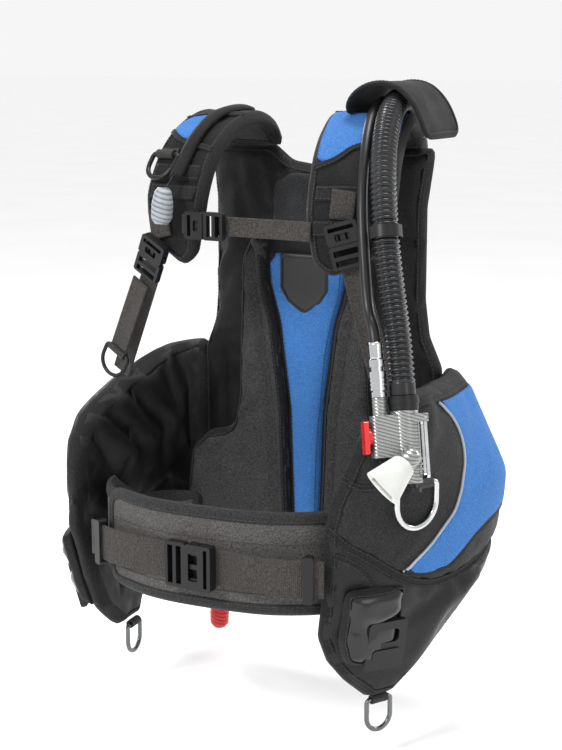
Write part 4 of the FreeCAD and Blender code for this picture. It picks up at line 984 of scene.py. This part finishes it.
def back_pads():
    """Two wide pads, the blue spine panel between them and the rubber patch at its top."""
    line = Line(BACK_LINE)
    place = flat_front(PAD_Y)

    def gap(uv):
        at = np.array([line.u_where(x, 0) for x in uv[:, 0]])
        return line.at(at)[:, 1] - 10.0 - PAD_Y

    for side in (1, -1):
        shape = [(17, -118, 8), (150, -118, 12), (158, -60, 30), (151, 0, 26), (130, 20, 20), (95, 28, 24),
                 (87, 66, 30), (84, 150, 60), (82, 225, 30), (70, 252, 16), (52, 254, 8), (50, 200, 40),
                 (37, 158, 60), (24, 60, 60)]
        loop = rounded([(x * side, z, r) for x, z, r in shape])
        seams = [([(side * 66, 236), (side * 62, 196), (side * 50, 120), (side * 40, 50), (side * 33, -112)],
                  0.45, 5),
                 ([(side * 60, 60), (side * 92, 22), (side * 132, -14)], 0.25, 7)]
        folds = [([(side * 100, -20), (side * 80, -60), (side * 84, -110)], 1.8, 12, 1),
                 ([(side * 62, 130), (side * 70, 90), (side * 66, 40)], 1.6, 10, 1)]
        pad = Cushion(f"back_pad_{SIDE_NAME[side]}", loop, place, 17, gap, PAD, edge=13, step=6,
                      channels=seams, folds=folds, ripple=(0.8, 30), slot="pad_mesh",
                      replaces=["back_pads"] if side > 0 else [], puff=(2.0, 10, 3, 0.01))
        binding(pad, TAPE, 7)
        seam = smooth(seams[0][0])
        stitches(f"pad_seam_{SIDE_NAME[side]}", pad.on(seam, 0.4, 1, "edge"), pad.out(seam))
    spine = [(-14.5, -118, 3), (14.5, -118, 3), (21.5, 60, 60), (34.5, 158, 60), (47, 200, 30), (49, 234, 6),
             (-49, 234, 6), (-47, 200, 30), (-34.5, 158, 60), (-21.5, 60, 60)]
    panel = Cushion("spine_panel_skin", rounded(spine), place, 11.5, 1.5, BLUE, edge=9, step=5,
                    ripple=(0.5, 30), slot="blue_nylon", replaces=["spine_panel"], puff=(1.5, 8, 2, 0.0))
    for side in (1, -1):
        edge = [(side * 11, -114), (side * 18, 60), (side * 31, 158), (side * 42, 200), (side * 44, 230)]
        stitches(f"spine_stitch_{SIDE_NAME[side]}", panel.on(smooth(edge), 0.3), panel.out(smooth(edge)))
    shield = rounded([(-31, 196, 8), (-22, 181, 8), (0, 166, 10), (22, 181, 8), (31, 196, 8), (31, 236, 5),
                      (-31, 236, 5)], step=3)
    badge = Cushion("neck_patch_skin", shield, flat_front(PAD_Y - 9), 5, 3, BADGE, edge=3.0, step=4,
                    ripple=(0.2, 20), slot="rubber_patch", replaces=["neck_patch"])
    rim = rounded([(-27.5, 197, 7), (-19.5, 184, 7), (0, 170.5, 9), (19.5, 184, 7), (27.5, 197, 7),
                   (27.5, 232, 5), (-27.5, 232, 5)], step=3)
    piping("neck_patch_rim", badge, np.vstack([rim, rim[:1]]), BADGE, 0.8)
    tape("pad_top_tape", panel, [(-47, 232), (47, 232)], 8, 1.4)


# ---- side lobes ---------------------------------------------------------------------------------
def lobe_surface(side):
    """The surface of a side lobe: u forward from the back and v the height."""
    return wall(LOBE_PLAN[side], side, LEAN[side], LEAN_Z, LOBE_TOP_PLAN if side > 0 else None)[1]


def left_lobe():
    """The wearer's left lobe, its blue panel edged with piping, and its darker low panel."""
    place = lobe_surface(1)
    half = half_of(LOBE_PLAN[1])
    corners = [(-4, 116, 10), (196, 122, 16), (252, 101, 18), (266, 82, 20), (280, 50, 24), (293, 22, 20),
               (299, -5, 20), (299, -118, 22), (287, -146, 20), (268, -168, 20), (240, -192, 9),
               (214, -192, 9), (117, -112, 50), (-4, -40, 14)]

    def front(uv):
        return half(uv) + 11 * hump(uv, (70, 10), (48, 62)) + 5 * hump(uv, (170, 60), (40, 40)) - 1.0

    cross = smooth([(299, -3), (282, -19), (258, -35), (233, -53), (209, -66), (182, -73), (154, -72),
                    (119, -65), (60, -50)])
    seams = [(cross, 0.3, 6)]
    folds = [([(180, 110), (196, 84), (205, 52), (202, 20)], 3.0, 9, 1),
             ([(230, 100), (240, 78), (236, 52)], -2.5, 7, 1),
             ([(205, -8), (214, -24), (232, -38)], 2.5, 7, 1),
             ([(120, -80), (160, -100), (200, -150)], 3.5, 12, 1),
             ([(170, -86), (205, -100), (232, -120)], -3.0, 8, 1), ([(90, -62), (130, -84)], 2.5, 8, 1),
             ([(60, 80), (110, 20), (150, -20)], 3.0, 16, -1),
             ([(150, 90), (180, 30), (200, -60)], 4.0, 14, -1),
             ([(230, 60), (240, -10), (246, -80)], 3.0, 12, -1)]
    lobe = Cushion("left_lobe_skin", rounded(corners), place, front, half, LOBE, edge=18, step=6,
                   channels=seams, folds=folds, ripple=(1.6, 34), replaces=["left_lobe"],
                   puff=(2.5, 12, 5, 0.02))
    blue = smooth([(162, 110), (151, 97), (143, 84), (139, 65), (141, 49), (150, 32), (158, 16), (165, 1),
                   (178, -12), (193, -26), (212, -42), (224, -52)], 4)
    low = smooth([(224, -52), (206, -58), (190, -59), (173, -57), (153, -46), (131, -33), (102, -22),
                  (67, -14), (28, -6)], 4)
    back = smooth([(28, -6), (16, 20), (12, 60), (14, 90), (20, 106)], 5)
    top = even([(20, 106), (162, 110)], 5)
    outline = even(np.vstack([blue[:-1], low[:-1], back[:-1], top[:-1]]), 4.5, closed=True)
    patch("side_panel", lobe, outline, BLUE, 2.6)
    piping("side_panel_piping", lobe, blue, PIPING, 1.5)
    tape("side_panel_low_tape", lobe, low, 6, 2.2)
    hem = smooth([(297, -116), (285, -144), (266, -165), (239, -186), (218, -187)], 5)
    rear = smooth([(218, -187), (170, -150), (119, -108), (88, -92)], 6)
    lower = np.vstack([cross[::-1][8:], even([(297, -8), (297, -116)], 5), hem, rear])
    patch("left_low_panel", lobe, even(lower, 5, closed=True), LINING, 1.0)
    tape("left_cross_seam", lobe, cross, 9, 1.9)
    pocket = [(284, 48), (267, 39), (250, 42), (243, 56), (250, 70), (264, 74)]
    tape("left_pocket_curve", lobe, pocket, 6, 1.6)
    tape("left_pocket_low", lobe, [(291, -30), (277, -36), (264, -46), (254, -60)], 7, 1.9)
    tape("left_inner_seam", lobe, [(170, 112), (186, 60), (196, 0), (206, -90)], 7, 1.2, face=-1)
    binding(lobe, TAPE, 10, 1.0)
    return lobe


def right_lobe():
    """The wearer's right lobe, whose folded lining is what the front shows."""
    place = lobe_surface(-1)
    half = half_of(LOBE_PLAN[-1])
    corners = [(-4, 122, 10), (50, 112, 40), (103, 94, 40), (163, 78, 40), (219, 60, 30), (253, 42, 26),
               (268, 18, 26), (276, -40, 40), (278, -110, 30), (262, -150, 26), (222, -181, 12),
               (182, -181, 9), (104, -114, 40), (-4, -70, 14)]

    def front(uv):
        return half(uv) + 3 * hump(uv, (90, 20), (50, 60)) - 1.0

    def back(uv):
        return half(uv) + 4 * hump(uv, (170, 40), (60, 40))

    seams = [(smooth([(276, -22), (250, -40), (215, -60), (170, -74), (119, -68), (60, -50)]), 0.3, 6)]
    folds = [([(226, 58), (192, 34), (150, 0)], 6.0, 12, -1), ([(176, 74), (140, 44), (96, 10)], 6.0, 13, -1),
             ([(204, 66), (170, 38), (126, 4)], -5.5, 8, -1),
             ([(250, 34), (222, -2), (190, -44)], 5.5, 12, -1),
             ([(240, 46), (208, 14), (172, -26)], -5.0, 8, -1),
             ([(122, 92), (88, 56), (52, 24)], 5.5, 13, -1), ([(150, 84), (116, 52), (76, 16)], -4.5, 8, -1),
             ([(262, -10), (240, -46), (216, -84)], 4.0, 10, -1),
             ([(60, 104), (40, 60), (30, 0)], 3.5, 12, -1),
             ([(120, -80), (160, -100), (200, -150)], 3.5, 12, 1),
             ([(60, 60), (100, 10), (130, -40)], 3.5, 14, 1), ([(180, 50), (200, 0), (210, -50)], 3.0, 11, 1),
             ([(225, 40), (240, 0), (244, -40)], -2.5, 9, 1)]
    lobe = Cushion("right_lobe_skin", rounded(corners), place, front, back, LINING, edge=18, step=6,
                   channels=seams, folds=folds, ripple=(1.2, 40), replaces=["right_lobe"],
                   puff=(2.5, 12, 5, 0.015))
    blue = even(rounded([(12, 100, 10), (112, 78, 30), (144, 54, 40), (156, 16, 40), (190, -20, 40),
                         (222, -48, 10), (173, -57, 40), (102, -22, 40), (20, -6, 16)]), 4.5, closed=True)
    patch("right_side_panel", lobe, blue, BLUE, 2.6)
    inner = smooth([(112, 78), (143, 55), (156, 18), (188, -20), (222, -48)], 4)
    piping("right_panel_piping", lobe, inner, PIPING, 1.5)
    tape("right_cross_seam", lobe, seams[0][0], 9, 1.9)
    tape("right_inner_seam", lobe, [(120, 94), (150, 30), (170, -40), (186, -110)], 7, 1.0, face=-1,
         stitched=False)
    binding(lobe, TAPE, 10, 1.0)
    return lobe


def weight_pouch(side, lobe):
    """The vinyl weight pouch on a lobe's outer face; it leaves with its grip."""
    surface = lobe_surface(side)
    middle = {1: 250, -1: 238}[side]
    loop = rounded([(middle - 29, -153, 12), (middle + 22, -147, 16), (middle + 30, -120, 10),
                    (middle + 29, -66, 8), (middle - 28, -64, 8)], step=4)
    skin = lobe.on(loop, 0.0)
    base = float(np.mean(np.linalg.norm(skin - lobe.place(loop, 0.0), axis=1)))

    def place(uv, w=0.0):
        return surface(uv, np.broadcast_to(w, len(uv)) + base)

    name = SIDE_NAME[side]
    pouch = Cushion(f"{name}_pouch_skin", loop, place, 13, 3, VINYL, edge=17, step=4, ripple=(1.2, 18),
                    folds=[([(middle - 22, -88), (middle, -94), (middle + 22, -86)], 2.4, 5, 1),
                           ([(middle - 20, -98), (middle + 6, -108), (middle + 24, -102)], -2.4, 5, 1),
                           ([(middle + 4, -140), (middle + 20, -116)], 2.0, 5, 1)],
                    body=f"{name}_weights", slot="pouch_vinyl", replaces=[f"{name}_weight_pouch"])
    binding(pouch, TAPE, 5, 0.8)


# ---- shoulder straps ----------------------------------------------------------------------------
def shoulder_strap(side):
    """A padded strap with its blue panel, seams, webbing loops and lining."""
    place = strap_surface(side)
    w, name = STRAP_HALF[side], SIDE_NAME[side]
    corners = [(-w, 2, 4), (w, 2, 4), (w, 183, 40), (w - 8, 221, 30), (w - 34, 241, 16), (-w + 26, 252, 12),
               (-w + 8, 240, 20), (-w, 193, 40)]
    folds = [([(-w + 14, 60), (0, 74), (w - 14, 66)], 1.2, 8, 1),
             ([(-w + 12, 168), (w - 16, 176)], -1.0, 6, 1)]
    strap = Cushion(f"{name}_strap_skin", rounded(corners), place, 8.5, 7, CORDURA, edge=9, step=5.5,
                    folds=folds, ripple=(0.7, 26), replaces=[f"{name}_shoulder_strap"],
                    puff=(2.0, 10, 3, 0.01))
    binding(strap, TAPE, 8)
    if side > 0:
        blue = [(-w + 5, 52, 8), (w - 5, 56, 8), (w - 5, 108, 6), (22, 118, 30), (-3, 125, 30),
                (-19, 138, 30), (-w + 5, 147, 6)]
        seam = [(w - 5, 108), (22, 118), (-3, 125), (-19, 138), (-w + 5, 147)]
        high = [(-w + 5, 52), (w - 5, 56)]
    else:
        blue = [(-1, 76, 4), (9, 78, 30), (w - 5, 86, 6), (w - 5, 110, 6), (22, 118, 20), (-1, 126, 4)]
        seam = [(w - 5, 110), (22, 118), (-w + 5, 132)]
        high = [(-w + 5, 72), (9, 76), (w - 5, 84)]
    patch(f"{name}_strap_blue", strap, rounded(blue), BLUE, 1.5)
    tape(f"{name}_strap_seam", strap, smooth(seam), 6, 2.0)
    tape(f"{name}_strap_high_seam", strap, smooth(high) if len(high) > 2 else high, 6, 2.0)
    for k, at in enumerate((172, 205) if side > 0 else (158, 178)):
        tape(f"{name}_strap_web_{k}", strap, [(-w + 9, at), (w - 9, at)], 15, 2.4)
    inner = rounded([(-w + 9, 10, 6), (w - 9, 10, 6), (w - 9, 180, 30), (w - 18, 214, 20), (0, 232, 16),
                     (-w + 11, 190, 20)])
    patch(f"{name}_strap_lining", strap, inner, SPACER, 1.2, face=-1)


def hose_flap():
    """The stiffened cloth flap folded over the hoses at the shoulder."""
    line = Line([(76, 390), (79, 403), (92, 415), (112, 420.5), (132, 417), (149, 403), (160, 384),
                 (166, 366)])

    def place(uv, w=0.0):
        p, t = line.at(uv[:, 0]), line.slope(uv[:, 0])
        w = np.broadcast_to(w, len(uv))
        return np.stack([p[:, 0] - t[:, 1] * w, uv[:, 1], p[:, 1] + t[:, 0] * w], 1)

    top = line.length
    loop = rounded([(0, -196, 10), (0, -112, 10), (top, -112, 14), (top, -196, 14)])
    flap = Cushion("hose_flap_skin", loop, place, 2.0, 1.8, CORDURA, edge=3, step=4, ripple=(0.5, 22),
                   slot="rubber_patch", replaces=["hose_flap"])
    binding(flap, TAPE, 6, 0.8)


def dump_sleeve():
    """The cloth tunnel on the right strap that holds the shoulder dump's cord."""
    run = [(-140, 390), (-150, 392.2), (-174, 391.5), (-197.3, 386.5), (-220.6, 374), (-238.6, 358),
           (-252, 341), (-266, 324)]
    path = smooth([splayed(-1, -8, y, z - 1) for y, z in run], 3)
    across = splayed(-1, 10, -190, 380) - splayed(-1, 0, -190, 380)
    normals = np.broadcast_to(across / np.linalg.norm(across), path.shape)
    sleeve = tube_mesh("dump_sleeve_skin", path, 4.6, CORDURA, sides=14, flat=1.8, normals=normals)
    settle(sleeve, ROOT, ["dump_sleeve"])


# ---- waistband and webbing ----------------------------------------------------------------------
WAIST_WEB_Z = -52
WAIST_WIDTH, SHOULDER_WIDTH, CHEST_WIDTH, TANK_BAND_WIDTH = 38, 25, 20, 50
UPRIGHT = (0, 0, 1)
BAND_LINE = {
    1: [(132, -157), (158, -180), (168, -225), (157, -282), (127, -322), (84, -351), (10, -367),
        (-60, -366.6), (-108, -351)],
    -1: [(-132, -157), (-160, -180), (-172, -225), (-164, -282), (-138, -321), (-100, -342), (-58, -356),
         (10, -361), (60, -355)],
}
BAND_HEIGHT = {1: (-99, 6), -1: (-96, 3)}


def cummerbund(side):
    """One half of the waistband; the left half laps over the right."""
    line, place = wall(BAND_LINE[side], side)
    low, high = BAND_HEIGHT[side]
    end = line.length + (14 if side > 0 else 0)
    round_end = 26 if side > 0 else 8
    back_edge = {1: [(0, low, 8), (0, high, 8)],
                 -1: [(0, low, 8), (0, -50, 8), (80, -44, 40), (136, -6, 30)]}[side]
    loop = rounded(back_edge + [(end, high, round_end), (end, low, round_end)])
    name = SIDE_NAME[side]
    band = Cushion(f"{name}_cummerbund_skin", loop, place, 3.2, 2.2, WAIST_CLOTH, edge=5, step=6,
                   ripple=(0.9, 34), slot="webbing", replaces=["cummerbund"] if side > 0 else [])
    binding(band, GREY_TAPE, 11, 1.1)
    for k, z in enumerate((-26, -78) if side > 0 else ()):
        row = even([(40, z), (end - 20, z)], 5)
        stitches(f"waistband_row_{k}", band.on(row, 0.3), band.out(row))


def waist_webbing():
    paths = {"left": [(21, -376), (60, -376), (98, -372.5), (141, -357)],
             "right": [(-12, -376), (-60, -376), (-104, -369.5), (-141, -352)]}
    for name, path in paths.items():
        line = [(x, y, WAIST_WEB_Z) for x, y in path]
        ribbon(f"waist_webbing_{name}", line, UPRIGHT, WAIST_WIDTH, 2.6,
               replaces=["waist_webbing"] if name == "left" else [])


def chest_webbing():
    y, z = -279, 276
    left_end = splayed(1, -35, -258, z)
    left_path = [(-32, y + 6.2, z), (20, y + 6.2, z), (60, y + 4.2, z), (left_end[0], y + 3.2, z)]
    right_path = [(-59, y + 6.2, z), (-68, y + 7, z), (-76, y + 8.4, z)]
    ribbon("chest_webbing_left", left_path, UPRIGHT, CHEST_WIDTH, 2.2, replaces=["chest_webbing"])
    ribbon("chest_webbing_right", right_path, UPRIGHT, CHEST_WIDTH, 2.2)


SHOULDER_AT = {1: (-1, -258, 266), -1: (19, -258, 238)}
WEB_FOOT = {1: (171, -272, 84), -1: (-193, -236, 90)}


def shoulder_webbing():
    """Webbing from each lobe to its buckle, from the buckle up onto the strap, and the right free end."""
    for side in (1, -1):
        across, y, z = SHOULDER_AT[side]
        yaw = math.radians(STRAP_YAW[side] * side)
        front = np.array((math.sin(yaw), -math.cos(yaw), 0))
        mouth = splayed(side, across, y, z) + front * 17
        down = np.array(WEB_FOOT[side], float) - mouth
        reach = np.linalg.norm(down)
        up = -down / reach
        normal = front - up * (front @ up)
        normal = normal / np.linalg.norm(normal)
        flat = np.cross(up, normal)
        name = SIDE_NAME[side]
        start = mouth - up * 14 - normal * 7.4
        ribbon(f"{name}_shoulder_web", [start, start - up * (reach - 26)], flat, SHOULDER_WIDTH, 2.5,
               replaces=["shoulder_webbing"] if side > 0 else [])
        anchor = mouth + up * 24 - normal * 7.0
        ribbon(f"{name}_shoulder_anchor", [anchor, splayed(side, across - 3, y - 9, z + 52)], flat,
               SHOULDER_WIDTH, 2.5)
        if side < 0:
            top = mouth - up * 30 + normal * 5.6
            ribbon("right_free_end", [top, top - up * 88 + normal * 4], flat, SHOULDER_WIDTH - 2, 2.5)


def ring_tabs():
    """The rings' webbing tabs keep their CAD shape, softened at the edges."""
    tabs = NODES["ring_tabs"]
    soft = tabs.modifiers.new("soft_edges", "BEVEL")
    soft.width, soft.segments, soft.limit_method = 0.6 * MM, 2, "ANGLE"
    tabs.data.materials.clear()
    tabs.data.materials.append(TAB_WEBBING)


def tank_band():
    """The cam band: round the cylinder and in through the plate's two slots."""
    radius, slot_x, slot_y = 93.6, 70, -104.5
    reach = math.hypot(slot_x, slot_y)
    start = math.atan2(slot_y, slot_x) + math.acos(radius / reach)
    turns = np.linspace(start, math.pi - start, 90)
    around = [(radius * math.cos(a), radius * math.sin(a), 0) for a in turns]
    line = [(slot_x, slot_y, 0)] + around + [(-slot_x, slot_y, 0)]
    ribbon("tank_band_skin", even(line, 3), UPRIGHT, TANK_BAND_WIDTH, 2.8, replaces=["tank_band"])


back_cell()
back_pads()
lobes = {1: left_lobe(), -1: right_lobe()}
for lobe_side, finished_lobe in lobes.items():
    weight_pouch(lobe_side, finished_lobe)
for strap_side in (1, -1):
    shoulder_strap(strap_side)
hose_flap()
dump_sleeve()
for band_side in (1, -1):
    cummerbund(band_side)
waist_webbing()
chest_webbing()
shoulder_webbing()
ring_tabs()
tank_band()

for node_name, node_material in CAD_MATERIALS.items():
    NODES[node_name].data.materials.clear()
    NODES[node_name].data.materials.append(node_material)


def cord_faces(name, lowest):
    """Gives the cord above a pull knob its own material."""
    mesh = NODES[name].data
    mesh.materials.append(RUBBER)
    for face in mesh.polygons:
        if face.center.z > lowest * MM:
            face.material_index = 1


cord_faces("dump_knob", 316)
cord_faces("rear_dump_knob", -189)
